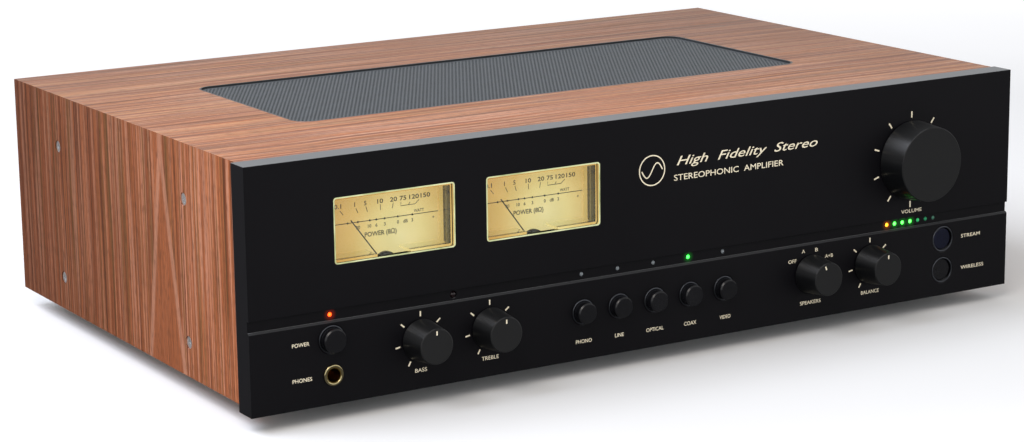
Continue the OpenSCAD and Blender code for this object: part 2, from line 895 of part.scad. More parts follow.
module tact(x, z) {
  side = tact_size[0];
  translate([x - side / 2, tact_y, panel_z0 + z - side / 2]) cube([side, tact_size[1], side]);
}

module front_board() {
  board_w = panel_w - 2 * front_board_inset;
  color("#1f5a37") {
    difference() {
      plate_y(board_y, board_t) translate([-board_w / 2, panel_z0 + front_board_zs[0]])
        square([board_w, front_board_zs[1] - front_board_zs[0]]);
      for (c = small_controls)
        bar_y(c[0], board_y - eps, panel_z0 + c[1], nut_r + 1, board_t + 2 * eps);
      phones_cut(board_y, board_t);
    }
    for (i = [0 : source_count - 1])
      tact(source_x(i), row_z);
    tact(power_x, power_z);
    for (z = window_button_zs)
      tact(window_button_x, z);
  }
}

module phones_socket() {
  body_w = phones_body[0];
  color("#c9a860") difference() {
    union() {
      bar_y(power_x, face_y - phones_ring_out, panel_z0 + phones_z, phones_ring_r, face_t + phones_ring_out);
      translate([power_x - body_w / 2, wall_y, panel_z0 + phones_z - body_w / 2])
        cube([body_w, phones_body[1], body_w]);
    }
    bar_y(power_x, face_y - phones_ring_out - eps, panel_z0 + phones_z, phones_bore_r,
      phones_ring_out + face_t + phones_body[1] - 2 + eps);
  }
}

// Chassis

module stand_places() {
  for (x = corner_xs(amp_board_x, amp_board_size[0], stand_inset))
    for (y = [board_back_y - amp_board_size[1] + stand_inset, board_back_y - stand_inset])
      translate([x, y, tray_top_z]) children();
  for (x = corner_xs(supply_board_x, supply_board_size[0], stand_inset))
    for (y = [board_back_y - supply_board_size[1] + stand_inset, board_back_y - stand_inset])
      translate([x, y, tray_top_z]) children();
}

module foot_places() {
  for (x = [-foot_x, foot_x])
    for (y = foot_ys)
      translate([x, y, 0]) children();
}

module chassis() {
  color("#8f9396") difference() {
    union() {
      box_between([-inner_half, steel_y, case_z0], [inner_half, rear_in_y, tray_top_z]);
      for (x = [-inner_half, inner_half - sheet_t])
        box_between([x, steel_y, case_z0], [x + sheet_t, rear_in_y, case_z0 + tray_wall_h]);
      stand_places() cylinder(r = stand_r, h = stand_h);
    }
    side_screw_places() cylinder(r = side_shank_r, h = 2 * wood_t);
    mirror([1, 0, 0]) side_screw_places() cylinder(r = side_shank_r, h = 2 * wood_t);
    foot_places() cylinder(r = screw_r, h = 2 * case_z0);
    stand_places() translate([0, 0, eps]) cylinder(r = screw_r, h = stand_h);
    translate([core_x, core_y, case_z0 - eps]) cylinder(r = bolt_r, h = sheet_t + 2 * eps);
  }
}

module feet() {
  color("#111111") foot_places() rotate_extrude() polygon([
    [screw_head_r + 1, 0], [foot_r - 2, 0], [foot_r, 2], [foot_r, case_z0], [screw_r, case_z0],
    [screw_r, screw_sink], [screw_head_r + 1, screw_sink]
  ]);
}

module steel_fasteners() {
  stack = core_h + washer_t;
  color("#c4c6c8") {
    foot_places() translate([0, 0, screw_sink - screw_head_t]) {
      cylinder(r = screw_head_r, h = screw_head_t);
      cylinder(r = screw_r, h = tray_top_z + 2 - screw_sink + screw_head_t);
    }
    boss_places() {
      bar_y(0, back_y - 6, 0, screw_r, 6 + plate_t + screw_head_t);
      bar_y(0, steel_y, 0, screw_head_r, screw_head_t);
    }
    stand_places() {
      translate([0, 0, stand_h - 5]) cylinder(r = screw_r, h = 5 + board_t + screw_head_t);
      translate([0, 0, stand_h + board_t]) cylinder(r = screw_head_r, h = screw_head_t);
    }
    translate([core_x, core_y, case_z0]) {
      cylinder(r = bolt_r, h = sheet_t + stack + 2 * bolt_r);
      translate([0, 0, sheet_t + core_h]) cylinder(r = washer_r, h = washer_t);
      translate([0, 0, sheet_t + stack]) cylinder(r = 2 * bolt_r, h = bolt_r, $fn = 6);
    }
  }
}

// Electronics

module transformer() {
  color("#c2863f") translate([core_x, core_y, tray_top_z]) rotate_extrude()
    translate([(core_radii[0] + core_radii[1]) / 2, core_h / 2])
      rounded_rect(core_radii[0] - core_radii[1], core_h, core_round);
}

module heat_sink() {
  pitch = (sink_size[0] - fin_t) / (fin_count - 1);
  color("#2a2a2c") translate([amp_board_x - sink_size[0] / 2, sink_y, tray_top_z]) linear_extrude(sink_size[1]) {
    square([sink_size[0], sink_base_t]);
    for (i = [0 : fin_count - 1])
      translate([i * pitch, -fin_len]) square([fin_t, fin_len + sink_base_t]);
  }
}

module board(middle_x, size) {
  translate([middle_x - size[0] / 2, board_back_y - size[1], tray_top_z + stand_h])
    cube([size[0], size[1], board_t]);
}

module circuit_boards() {
  color("#1f5a37") difference() {
    union() {
      board(amp_board_x, amp_board_size);
      board(supply_board_x, supply_board_size);
    }
    stand_places() cylinder(r = screw_r, h = 2 * stand_h);
  }
}

module capacitors() {
  color("#23282f") for (i = [0 : capacitor_count - 1])
    translate([
      supply_board_x + (i - (capacitor_count - 1) / 2) * capacitor_pitch,
      board_back_y - supply_board_size[1] / 2, tray_top_z + stand_h + board_t
    ]) cylinder(r = capacitor_size[0], h = capacitor_size[1]);
}

// Rear plate and its sockets

module rca_places() {
  for (i = [0 : rca_columns - 1])
    for (z = rca_zs)
      if (i < rca_columns - 1 || z == rca_zs[0])
        translate([rca_x(i), 0, panel_z0 + z]) children();
}

module post_places() {
  for (x = post_xs)
    for (z = post_zs)
      translate([-x, 0, panel_z0 + z]) children();
}

module rear_panel() {
  color("#2b2c2e") difference() {
    box_between([-inner_half, rear_in_y, case_z0], [inner_half, rear_y, under_z - steel_gap]);
    rca_places() bar_y(0, rear_in_y - eps, 0, rca_shell_r, plate_t + 2 * eps);
    post_places() bar_y(0, rear_in_y - eps, 0, post_stud_r, plate_t + 2 * eps);
    bar_y(ground_x, rear_in_y - eps, panel_z0 + ground_z, ground_stud_r, plate_t + 2 * eps);
    for (i = [0 : len(digital_sizes) - 1])
      socket_cut(digital_x(i), digital_z, digital_sizes[i], digital_wall);
    socket_cut(inlet_x, mains_z, inlet_size, inlet_wall);
    socket_cut(switch_x, mains_z, switch_size, inlet_wall);
  }
}

module socket_cut(x, z, size, wall) {
  translate([x, 0, panel_z0 + z]) plate_y(rear_in_y - eps, plate_t + 2 * eps)
    square([size[0] + 2 * wall, size[1] + 2 * wall], center = true);
}

// A rectangular socket: a shell with a lip on the rear plate's face and a blind hollow
module socket_shell(x, z, size, wall, depth, lip_t) {
  w = size[0] + 2 * wall;
  h = size[1] + 2 * wall;
  translate([x, 0, panel_z0 + z]) difference() {
    union() {
      plate_y(rear_y - depth - wall, depth + wall + lip_t) square([w, h], center = true);
      plate_y(rear_y, lip_t) square([w + 2 * wall, h + 2 * wall], center = true);
    }
    plate_y(rear_y - depth, depth + lip_t + eps) square(size, center = true);
  }
}

module phono_sockets() {
  base_y = rear_y + rca_flange[1];
  color("#caa34f") rca_places() difference() {
    union() {
      bar_y(0, rear_in_y - 8, 0, rca_shell_r, base_y + rca_shell_len - rear_in_y + 8);
      bar_y(0, rear_y, 0, rca_flange[0], rca_flange[1]);
    }
    bar_y(0, rear_y, 0, rca_pin_r, rca_flange[1] + rca_shell_len + eps);
  }
}

module digital_sockets() {
  tongue_t = 1.8;
  color("#b9bcbe") {
    for (i = [0 : len(digital_sizes) - 1])
      socket_shell(digital_x(i), digital_z, digital_sizes[i], digital_wall, digital_depth, 0.5);
    for (i = [2, 3])
      translate([digital_x(i), rear_y - digital_depth, panel_z0 + digital_z])
        box_between([3 - digital_sizes[i][0] / 2, 0, -tongue_t / 2],
          [digital_sizes[i][0] / 2 - 3, digital_depth - 1, tongue_t / 2]);
  }
}

module post_bases() {
  color("#1a1a1a") post_places() difference() {
    bar_y(0, rear_y, 0, post_base_r, post_base_t);
    bar_y(0, rear_y - eps, 0, post_stud_r, post_base_t + 2 * eps);
  }
}

module post_studs() {
  end_y = rear_y + post_reach - 1;
  color("#caa34f") {
    post_places() difference() {
      bar_y(0, rear_in_y - 10, 0, post_stud_r, end_y - rear_in_y + 10);
      bar_y(0, end_y - banana_depth, 0, banana_r, banana_depth + eps);
    }
    bar_y(ground_x, rear_in_y - 4, panel_z0 + ground_z, ground_stud_r, plate_t + ground_nut_size[1] + 8);
  }
}

// A speaker post's cap, turned with a groove at each end of its grip
module post_cap(column, row) {
  low_y = rear_y + post_base_t + run_gap;
  high_y = low_y + post_cap_len;
  bore_r = post_stud_r + run_gap;
  turned_y(-post_xs[column], panel_z0 + post_zs[row]) polygon([
    [bore_r, low_y], [post_cap_r - 1, low_y], [post_cap_r - 1, low_y + 3], [post_cap_r, low_y + 4],
    [post_cap_r, high_y - 1], [post_cap_r - 1, high_y], [bore_r, high_y]
  ]);
}

module red_cap(column, row) {
  color("#a01c1c") post_cap(column, row);
}

module black_cap(column, row) {
  color("#161616") post_cap(column, row);
}

module ground_nut() {
  low_y = rear_y + run_gap;
  color("silver") difference() {
    bar_y(ground_x, low_y, panel_z0 + ground_z, ground_nut_size[0], ground_nut_size[1]);
    bar_y(ground_x, low_y - eps, panel_z0 + ground_z, ground_stud_r + run_gap, ground_nut_size[1] + 2 * eps);
  }
}

module mains_inlet() {
  color("#151515") {
    socket_shell(inlet_x, mains_z, inlet_size, inlet_wall, inlet_depth, socket_lip);
    for (i = [-1, 0, 1])
      translate([inlet_x + i * blade_pitch, rear_y - inlet_depth, panel_z0 + mains_z + (i == 0 ? 2 : -2)])
        box_between([-blade_size[0] / 2, -eps, -blade_size[1] / 2],
          [blade_size[0] / 2, blade_size[2], blade_size[1] / 2]);
    difference() {
      socket_shell(switch_x, mains_z, switch_size, inlet_wall, switch_depth, socket_lip);
      translate([switch_x - switch_size[0] / 2 - 1, rocker_y, panel_z0 + mains_z]) rotate([0, 90, 0])
        cylinder(r = rocker_pin_r + run_gap, h = switch_size[0] + 2);
    }
  }
}

// A rocker whose two faces meet in a shallow V; its ends follow a circle about the pivot
module mains_rocker() {
  half = switch_size[0] / 2 - board_gap;
  rise = 5;
  flank = rocker_r * tan(rocker_tilt);
  color("#101010") translate([switch_x, rocker_y, panel_z0 + mains_z]) rotate([rocker_tilt, 0, 0]) {
    intersection() {
      rotate([0, 90, 0]) cylinder(r = rocker_r, h = 2 * half, center = true);
      rotate([90, 0, 90]) linear_extrude(2 * half, center = true) polygon([
        [-4, -rocker_r], [rise + flank, -rocker_r], [rise, 0], [rise + flank, rocker_r], [-4, rocker_r]
      ]);
    }
    rotate([0, 90, 0]) cylinder(r = rocker_pin_r, h = switch_size[0] + 1.6, center = true);
  }
}

case_top();
case_side_left();
case_side_right();
case_screws();
vent_grille();
grille_frame();
front_panel();
sub_panel();
chassis();
rear_panel();
feet();
steel_fasteners();
meter_covers();
meter_dials();
meter_movements();
meter_needle_left();
meter_needle_right();
volume_knob();
bass_knob();
treble_knob();
balance_knob();
speakers_knob();
volume_shaft();
bass_shaft();
treble_shaft();
balance_shaft();
speakers_shaft();
rotary_controls();
control_nuts();
power_button();
phono_button();
line_button();
optical_button();
coax_button();
video_button();
stream_button();
wireless_button();
indicator_lamps();
remote_eye();
front_board();
phones_socket();
transformer();
heat_sink();
circuit_boards();
capacitors();
phono_sockets();
digital_sockets();
post_bases();
post_studs();
red_cap(3, 0);  // cap_a_left_red
black_cap(2, 0);  // cap_a_left_black
red_cap(1, 0);  // cap_a_right_red
black_cap(0, 0);  // cap_a_right_black
red_cap(3, 1);  // cap_b_left_red
black_cap(2, 1);  // cap_b_left_black
red_cap(1, 1);  // cap_b_right_red
black_cap(0, 1);  // cap_b_right_black
ground_nut();
mains_inlet();
mains_rocker();
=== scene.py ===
import math
import bmesh
import bpy
import numpy as np
from mathutils import Matrix, Vector


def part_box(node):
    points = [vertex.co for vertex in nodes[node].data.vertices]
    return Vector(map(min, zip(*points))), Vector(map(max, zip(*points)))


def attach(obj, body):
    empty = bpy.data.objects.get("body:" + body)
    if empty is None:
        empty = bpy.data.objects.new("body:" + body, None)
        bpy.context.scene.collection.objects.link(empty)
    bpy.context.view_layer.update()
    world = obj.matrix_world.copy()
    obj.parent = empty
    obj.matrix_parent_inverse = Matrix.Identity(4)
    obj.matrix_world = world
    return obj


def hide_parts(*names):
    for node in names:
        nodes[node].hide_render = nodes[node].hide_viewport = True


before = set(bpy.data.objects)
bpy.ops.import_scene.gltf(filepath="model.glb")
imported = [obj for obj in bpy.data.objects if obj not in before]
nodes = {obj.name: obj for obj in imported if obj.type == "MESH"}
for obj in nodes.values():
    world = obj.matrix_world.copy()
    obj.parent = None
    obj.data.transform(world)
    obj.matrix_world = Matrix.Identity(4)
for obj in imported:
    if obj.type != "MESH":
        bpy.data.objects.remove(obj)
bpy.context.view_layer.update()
mm = 0.001
noiseLow, noiseHigh = 0.3, 0.7      # a noise texture seldom leaves this range
print("frame loaded:", len(nodes), "CAD nodes")

panelLow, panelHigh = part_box("front_panel")


def linear(hexColour):
    # sRGB hex to linear RGBA, by the sRGB curve
    c = np.array([int(hexColour[i:i + 2], 16) for i in (0, 2, 4)]) / 255
    rgb = np.where(c <= 0.04045, c / 12.92, ((c + 0.055) / 1.055) ** 2.4)
    return (*rgb.tolist(), 1.0)


def addNode(tree, kind, settings=None, links=None):
    # one node with its properties, socket values and links; "stops" fills a colour ramp
    node = tree.nodes.new("ShaderNode" + kind)
    for key, value in (settings or {}).items():
        if key == "stops":
            elements = node.color_ramp.elements
            elements.remove(elements[1])
            for i, (position, colour) in enumerate(value):
                stop = elements[0] if i == 0 else elements.new(position)
                stop.position = position
                stop.color = linear(colour) if isinstance(colour, str) else (colour, colour, colour, 1.0)
        elif key == "interpolation":
            node.color_ramp.interpolation = value
        elif isinstance(key, int) or key in node.inputs:
            node.inputs[key].default_value = value
        else:
            setattr(node, key, value)
    for key, socket in (links or {}).items():
        tree.links.new(socket, node.inputs[key])
    return node


def newSurface(name, sockets):
    # an empty material with a Principled shader on its output
    material = bpy.data.materials.new(name)
    material.use_nodes = True
    tree = material.node_tree
    tree.nodes.clear()
    shader = addNode(tree, "BsdfPrincipled", sockets)
    addNode(tree, "OutputMaterial", {}, {"Surface": shader.outputs[0]})
    return material, tree, shader


def grained(name, tones, grain, rough, relief, stretch=(1, 1, 1), cloudSize=22, sockets=None, edge=0):
    # a worked surface: cloudy tone, fine grain in roughness and height, and softened edges
    # grain in mm, relief in mm, stretch = how much longer the grain runs along x, y and z, edge in mm
    material, tree, shader = newSurface(name, sockets or {})
    place = addNode(tree, "TexCoord")
    fine = addNode(tree, "Mapping", {"Scale": [1000 / grain / s for s in stretch]},
                   {"Vector": place.outputs["Object"]})
    cloud = addNode(tree, "TexNoise", {"Scale": 1000 / cloudSize, "Detail": 3},
                    {"Vector": place.outputs["Object"]})
    speck = addNode(tree, "TexNoise", {"Scale": 1.0, "Detail": 2}, {"Vector": fine.outputs[0]})
    both = addNode(tree, "Mix", {"data_type": "FLOAT", 0: 0.45},
                   {2: cloud.outputs["Fac"], 3: speck.outputs["Fac"]})
    tone = addNode(tree, "ValToRGB", {"stops": [(noiseLow, tones[0]), (noiseHigh, tones[1])]},
                   {"Fac": both.outputs[0]})
    gloss = addNode(tree, "MapRange", {"From Min": noiseLow, "From Max": noiseHigh, "To Min": rough[0],
                                       "To Max": rough[1]}, {"Value": both.outputs[0]})
    bump = addNode(tree, "Bump", {"Strength": 0.6, "Distance": relief * mm}, {"Height": speck.outputs["Fac"]})
    if edge:
        soft = addNode(tree, "Bevel", {"samples": 6, "Radius": edge * mm})
        tree.links.new(soft.outputs[0], bump.inputs["Normal"])
    for key, socket in (("Base Color", tone.outputs[0]), ("Roughness", gloss.outputs[0]),
                        ("Normal", bump.outputs[0])):
        tree.links.new(socket, shader.inputs[key])
    return material


veneer = {
    "topStep": (3.6, 1.1, 0.5),     # mm: growth bands, pale streaks, pores
    "sideStep": (2.6, 1.5, 0.5),
    "topSway": 4.0,         # mm the grain wanders
    "sideSway": 1.2,
    "bandStops": (0.34, 0.43, 0.5, 0.57, 0.66),
    "oliveTone": "6f5026",
    "rightShadeTone": "dde1e8",      # painted shade: the sheet darkens and greys towards the right
    "silkTone": (0.76, 1.24),   # how far the fine silk darkens and lightens it
    "gloss": (0.38, 0.55),
    "archMiddle": panelLow.y + 93 * mm,
    "archFoot": (panelLow.z, 19.5),     # height, half width in mm
    "archTip": (panelHigh.z - 8 * mm, 0.5),
    "archLine": 2.5,        # mm, half the width of the pale line along the arch
}


def veneerMaterial(name, along, steps, sway, tones, streakTone, poreTone, backShadeTone, arch=None):
    # walnut veneer under satin lacquer: growth bands, pale streaks, dark pores along the grain
    # ring = distance across the grain, with a slow wander
    # arch = (plain wood's tone, line's tone): inside = |across - middle| less than a half width that
    # shrinks with height, the cut through a tapering trunk; a pale line follows its edge
    material, tree, shader = newSurface(name, {"Specular IOR Level": 0.22})
    place = addNode(tree, "TexCoord")
    axes = addNode(tree, "SeparateXYZ", {}, {0: place.outputs["Object"]})
    length = axes.outputs[along]
    drift = addNode(tree, "TexNoise", {"Scale": 9.0, "Detail": 2}, {"Vector": place.outputs["Object"]})
    shift = addNode(tree, "MapRange", {"To Min": -sway * mm, "To Max": sway * mm},
                    {"Value": drift.outputs["Fac"]})
    ring = addNode(tree, "Math", {"operation": "ADD"}, {0: axes.outputs[1], 1: shift.outputs[0]})
    grainSpace = addNode(tree, "CombineXYZ", {}, {0: ring.outputs[0], 1: length})
    layers = {}     # each stretched along the grain: mm across, mm along, detail, where it is cut
    for layer, (step, run, detail, offset) in {
            "bands": (steps[0], 420, 3, 0),
            "streaks": (steps[1], 190, 1, 3),
            "olive": (steps[1] * 1.3, 230, 1, 11),
            "pores": (steps[2], 6, 1, 5),
            "silk": (0.8, 40, 2, 7)}.items():
        scaled = addNode(tree, "Mapping", {"Location": (0, 0, offset), "Scale": (1000 / step, 1000 / run, 1)},
                         {"Vector": grainSpace.outputs[0]})
        layers[layer] = addNode(tree, "TexNoise", {"Scale": 1.0, "Detail": detail, "Roughness": 0.6},
                                {"Vector": scaled.outputs[0]}).outputs["Fac"]

    wood = addNode(tree, "ValToRGB", {"stops": list(zip(veneer["bandStops"], tones))},
                   {"Fac": layers["bands"]}).outputs[0]
    # tones laid over the bands, each where its value passes from low to high: tone, value, low, high, most
    overlays = [(veneer["oliveTone"], layers["olive"], 0.53, 0.62, 0.55),
                (streakTone, layers["streaks"], 0.52, 0.6, 0.72)]
    if arch:
        plainTone, lineTone = arch
        line = veneer["archLine"] * mm
        half = addNode(tree, "MapRange", {"From Min": veneer["archFoot"][0], "From Max": veneer["archTip"][0],
                                          "To Min": veneer["archFoot"][1] * mm,
                                          "To Max": veneer["archTip"][1] * mm}, {"Value": length})
        offset = addNode(tree, "Math", {"operation": "SUBTRACT", 1: veneer["archMiddle"]},
                         {0: ring.outputs[0]})
        aside = addNode(tree, "Math", {"operation": "ABSOLUTE"}, {0: offset.outputs[0]})
        past = addNode(tree, "Math", {"operation": "SUBTRACT"}, {0: aside.outputs[0], 1: half.outputs[0]})
        fromEdge = addNode(tree, "Math", {"operation": "ABSOLUTE"}, {0: past.outputs[0]})
        overlays += [(plainTone, past.outputs[0], 1.0 * mm, -0.5 * mm, 0.82),
                     (lineTone, fromEdge.outputs[0], line, line / 2, 0.8)]
    overlays.append((poreTone, layers["pores"], 0.53, 0.66, 0.5))
    for overTone, value, low, high, most in overlays:
        mask = addNode(tree, "MapRange", {"From Min": low, "From Max": high, "To Max": most},
                       {"Value": value})
        wood = addNode(tree, "Mix", {"data_type": "RGBA", 7: linear(overTone)},
                       {0: mask.outputs[0], 6: wood}).outputs[2]
    # painted shade: the veneer is multiplied darker towards the back by the back tone
    backShadeShare = addNode(tree, "MapRange", {"From Min": panelLow.y, "From Max": -panelLow.y, "To Min": 0.0,
                                           "To Max": 0.85}, {"Value": axes.outputs[1]})
    backShaded = addNode(tree, "Mix", {"data_type": "RGBA", "blend_type": "MULTIPLY", 7: linear(backShadeTone)},
                   {0: backShadeShare.outputs[0], 6: wood})
    # painted shade: the top darkens and greys towards the right; the side, at negative x, keeps its tone
    rightShadeShare = addNode(tree, "MapRange", {"From Min": -0.1, "From Max": panelHigh.x},
                         {"Value": axes.outputs[0]})
    rightShaded = addNode(tree, "Mix", {"data_type": "RGBA", "blend_type": "MULTIPLY",
                                   7: linear(veneer["rightShadeTone"])},
                     {0: rightShadeShare.outputs[0], 6: backShaded.outputs[2]})
    silkTone = addNode(tree, "MapRange", {"From Min": noiseLow, "From Max": noiseHigh,
                                          "To Min": veneer["silkTone"][0], "To Max": veneer["silkTone"][1]},
                       {"Value": layers["silk"]})
    tinted = addNode(tree, "VectorMath", {"operation": "SCALE"},
                     {0: rightShaded.outputs[2], "Scale": silkTone.outputs[0]})
    gloss = addNode(tree, "MapRange", {"From Min": noiseLow, "From Max": noiseHigh,
                                       "To Min": veneer["gloss"][0], "To Max": veneer["gloss"][1]},
                    {"Value": layers["silk"]})
    # the last mask is the pores', which are open and sink in
    bump = addNode(tree, "Bump", {"Strength": 0.35, "Distance": 0.05 * mm, "invert": True},
                   {"Height": mask.outputs[0]})
    for key, socket in (("Base Color", tinted.outputs[0]), ("Roughness", gloss.outputs[0]),
                        ("Normal", bump.outputs[0])):
        tree.links.new(socket, shader.inputs[key])
    return material


meters = {
    "centres": [panelLow.x + 74.2 * mm, panelLow.x + 152.7 * mm],
    "windowZ": panelLow.z + 79 * mm,
    "glow": 0.88,           # the dial lamp's strength
}


def dialPaperMaterial():
    # printed card lit from behind: warm amber at the left and top, paler low at the right
    material, tree, shader = newSurface("litDialPaper", {"Specular IOR Level": 0.1, "Roughness": 0.8,
                                                         "Emission Strength": meters["glow"]})
    place = addNode(tree, "TexCoord")
    axes = addNode(tree, "SeparateXYZ", {}, {0: place.outputs["Object"]})
    halfway = sum(meters["centres"]) / 2
    isRight = addNode(tree, "Math", {"operation": "GREATER_THAN", 1: halfway}, {0: axes.outputs[0]})
    centre = addNode(tree, "MapRange", {"To Min": meters["centres"][0], "To Max": meters["centres"][1]},
                     {"Value": isRight.outputs[0]})
    fromCentre = addNode(tree, "Math", {"operation": "SUBTRACT"}, {0: axes.outputs[0], 1: centre.outputs[0]})
    spot = addNode(tree, "CombineXYZ", {}, {0: fromCentre.outputs[0], 2: axes.outputs[2]})
    reach = addNode(tree, "VectorMath", {"operation": "DISTANCE",
                                         1: (9 * mm, 0, meters["windowZ"] - 9 * mm)}, {0: spot.outputs[0]})
    fibre = addNode(tree, "TexNoise", {"Scale": 900, "Detail": 3}, {"Vector": place.outputs["Object"]})
    uneven = addNode(tree, "Math", {"operation": "MULTIPLY_ADD", 1: 4 * mm},
                     {0: fibre.outputs["Fac"], 2: reach.outputs["Value"]})
    share = addNode(tree, "MapRange", {"From Min": 0, "From Max": 48 * mm}, {"Value": uneven.outputs[0]})
    tone = addNode(tree, "ValToRGB", {"stops": [(0.0, "f2e6b0"), (0.3, "ead896"), (0.55, "dcba72"),
                                                (0.85, "cfa25c")]}, {"Fac": share.outputs[0]})
    tree.links.new(tone.outputs[0], shader.inputs["Emission Color"])
    dim = addNode(tree, "Mix", {"data_type": "RGBA", "blend_type": "MULTIPLY", 0: 1.0, 7: linear("8a8478")},
                  {6: tone.outputs[0]})
    tree.links.new(dim.outputs[2], shader.inputs["Base Color"])
    return material


lamps = {                   # places along the panel in mm, from its middle
    "power": (-176.7, "ff4a10", 5.0),
    "sourceFirst": -43.6,
    "sourceStep": 20.35,
    "sourceLit": 3,
    "sourceCount": 5,
    "rowCentre": 154.5,
    "rowStep": 5.0,
    "rowTones": ["ff9420", "48ff48", "48ff48", "48ff48", "2aa860", "1c7c50", "3c6a58"],
    "rowPowers": [4.5, 6.0, 6.0, 6.0, 0.5, 0.35, 0.22],
    "span": 200.0,          # the tones are laid out from -span to span
    # painted glow on the panel round each lit lamp: place and tint
    "halos": [(-176.7, "ff3a10"), (17.45, "20d840"), (139.5, "ff8a18"), (144.5, "30d840"), (149.5, "20e840"),
              (154.5, "20e840")],
    "haloReach": 3.4,
    "haloCore": 1.0,        # full strength within this
    "haloPower": 0.11,
    "haloDepth": 1.5,       # how far the lens stands behind the panel's face
    "height": 41.2,         # above the panel's lower edge
}


def lampMaterial():
    # diffused lenses: each lamp's colour and strength come from where it stands along the panel
    spots = [lamps["power"]]
    for i in range(lamps["sourceCount"]):
        isLit = i == lamps["sourceLit"]
        # unlit lenses keep a faint painted glow
        spots.append((lamps["sourceFirst"] + i * lamps["sourceStep"], "38ff48" if isLit else "70767a",
                      5.0 if isLit else 0.05))
    count = len(lamps["rowTones"])
    for i, (tone, power) in enumerate(zip(lamps["rowTones"], lamps["rowPowers"])):
        spots.append((lamps["rowCentre"] + (i - count // 2) * lamps["rowStep"], tone, power))
    span = lamps["span"]
    edges = [0.0] + [((a[0] + b[0]) / 2 + span) / (2 * span) for a, b in zip(spots, spots[1:])]
    material, tree, shader = newSurface("diffusedLampLens", {"Roughness": 0.25, "Specular IOR Level": 0.5})
    place = addNode(tree, "TexCoord")
    axes = addNode(tree, "SeparateXYZ", {}, {0: place.outputs["Object"]})
    share = addNode(tree, "MapRange", {"From Min": -span * mm, "From Max": span * mm},
                    {"Value": axes.outputs[0]})
    tone = addNode(tree, "ValToRGB", {"stops": [(e, s[1]) for e, s in zip(edges, spots)],
                                      "interpolation": "CONSTANT"}, {"Fac": share.outputs[0]})
    power = addNode(tree, "ValToRGB", {"stops": [(e, s[2] / 10) for e, s in zip(edges, spots)],
                                       "interpolation": "CONSTANT"}, {"Fac": share.outputs[0]})
    facing = addNode(tree, "LayerWeight", {"Blend": 0.35})
    core = addNode(tree, "MapRange", {"From Min": 0.0, "From Max": 0.5, "To Min": 12.0, "To Max": 3.0},
                   {"Value": facing.outputs["Facing"]})
    strength = addNode(tree, "Math", {"operation": "MULTIPLY"}, {0: power.outputs[0], 1: core.outputs[0]})
    speckle = addNode(tree, "TexNoise", {"Scale": 4000, "Detail": 2}, {"Vector": place.outputs["Object"]})
    bump = addNode(tree, "Bump", {"Strength": 0.3, "Distance": 0.02 * mm}, {"Height": speckle.outputs["Fac"]})
    for key, socket in (("Base Color", tone.outputs[0]), ("Emission Color", tone.outputs[0]),
                        ("Emission Strength", strength.outputs[0]), ("Normal", bump.outputs[0])):
        tree.links.new(socket, shader.inputs[key])
    return material


def acrylicMaterial():
    # cast acrylic, polished: clear, with a faint uneven green tint
    material, tree, shader = newSurface("castAcrylic", {"IOR": 1.49, "Transmission Weight": 1.0,
                                                        "Roughness": 0.0, "Specular IOR Level": 0.35})
    place = addNode(tree, "TexCoord")
    wave = addNode(tree, "TexNoise", {"Scale": 60, "Detail": 1}, {"Vector": place.outputs["Object"]})
    tone = addNode(tree, "ValToRGB", {"stops": [(0.35, "f3f5ea"), (0.65, "fafbf4")]},
                   {"Fac": wave.outputs["Fac"]})
    tree.links.new(tone.outputs[0], shader.inputs["Base Color"])
    return material


def acrylicEdgeMaterial():
    # the cover's bevelled edge gathers the light behind it: a pale green line round each window
    material, tree, shader = newSurface("litAcrylicEdge", {"Roughness": 0.2, "Emission Strength": 0.3})
    place = addNode(tree, "TexCoord")
    uneven = addNode(tree, "TexNoise", {"Scale": 90, "Detail": 2}, {"Vector": place.outputs["Object"]})
    tone = addNode(tree, "ValToRGB", {"stops": [(0.35, "a0a878"), (0.5, "bcc294"), (0.66, "ccd0a4")]},
                   {"Fac": uneven.outputs["Fac"]})
    for key in ("Base Color", "Emission Color"):
        tree.links.new(tone.outputs[0], shader.inputs[key])
    return material


def knobMaterial():
    # anodised aluminium: fine grooves turned round the side draw the light out along the axis, and the
    # blasted face stays dull
    material = grained("turnedBlackAnodising", ("060709", "0b0c0f"), 0.22, (0.34, 0.42), 0.006, cloudSize=40,
                       edge=0.3, sockets={"Specular IOR Level": 0.7, "Anisotropic": 0.85,
                                          "Anisotropic Rotation": 0.25})
    tree = material.node_tree
    shader = tree.nodes["Principled BSDF"]
    turned = shader.inputs["Roughness"].links[0].from_socket
    place = addNode(tree, "TexCoord")
    facing = addNode(tree, "SeparateXYZ", {}, {0: place.outputs["Normal"]})
    side = addNode(tree, "MapRange", {"From Min": -0.9, "From Max": -0.5}, {"Value": facing.outputs[1]})
    faceRoughness = 0.95
    dull = addNode(tree, "Mix", {"data_type": "FLOAT", 2: faceRoughness}, {0: side.outputs[0], 3: turned})
    grooves = addNode(tree, "Tangent", {"direction_type": "RADIAL", "axis": "Y"})
    lay = addNode(tree, "Mix", {"data_type": "VECTOR", 4: (1.0, 0.0, 0.0)},
                  {0: side.outputs[0], 5: grooves.outputs[0]})
    tree.links.new(dull.outputs[0], shader.inputs["Roughness"])
    tree.links.new(lay.outputs[1], shader.inputs["Tangent"])
    return material


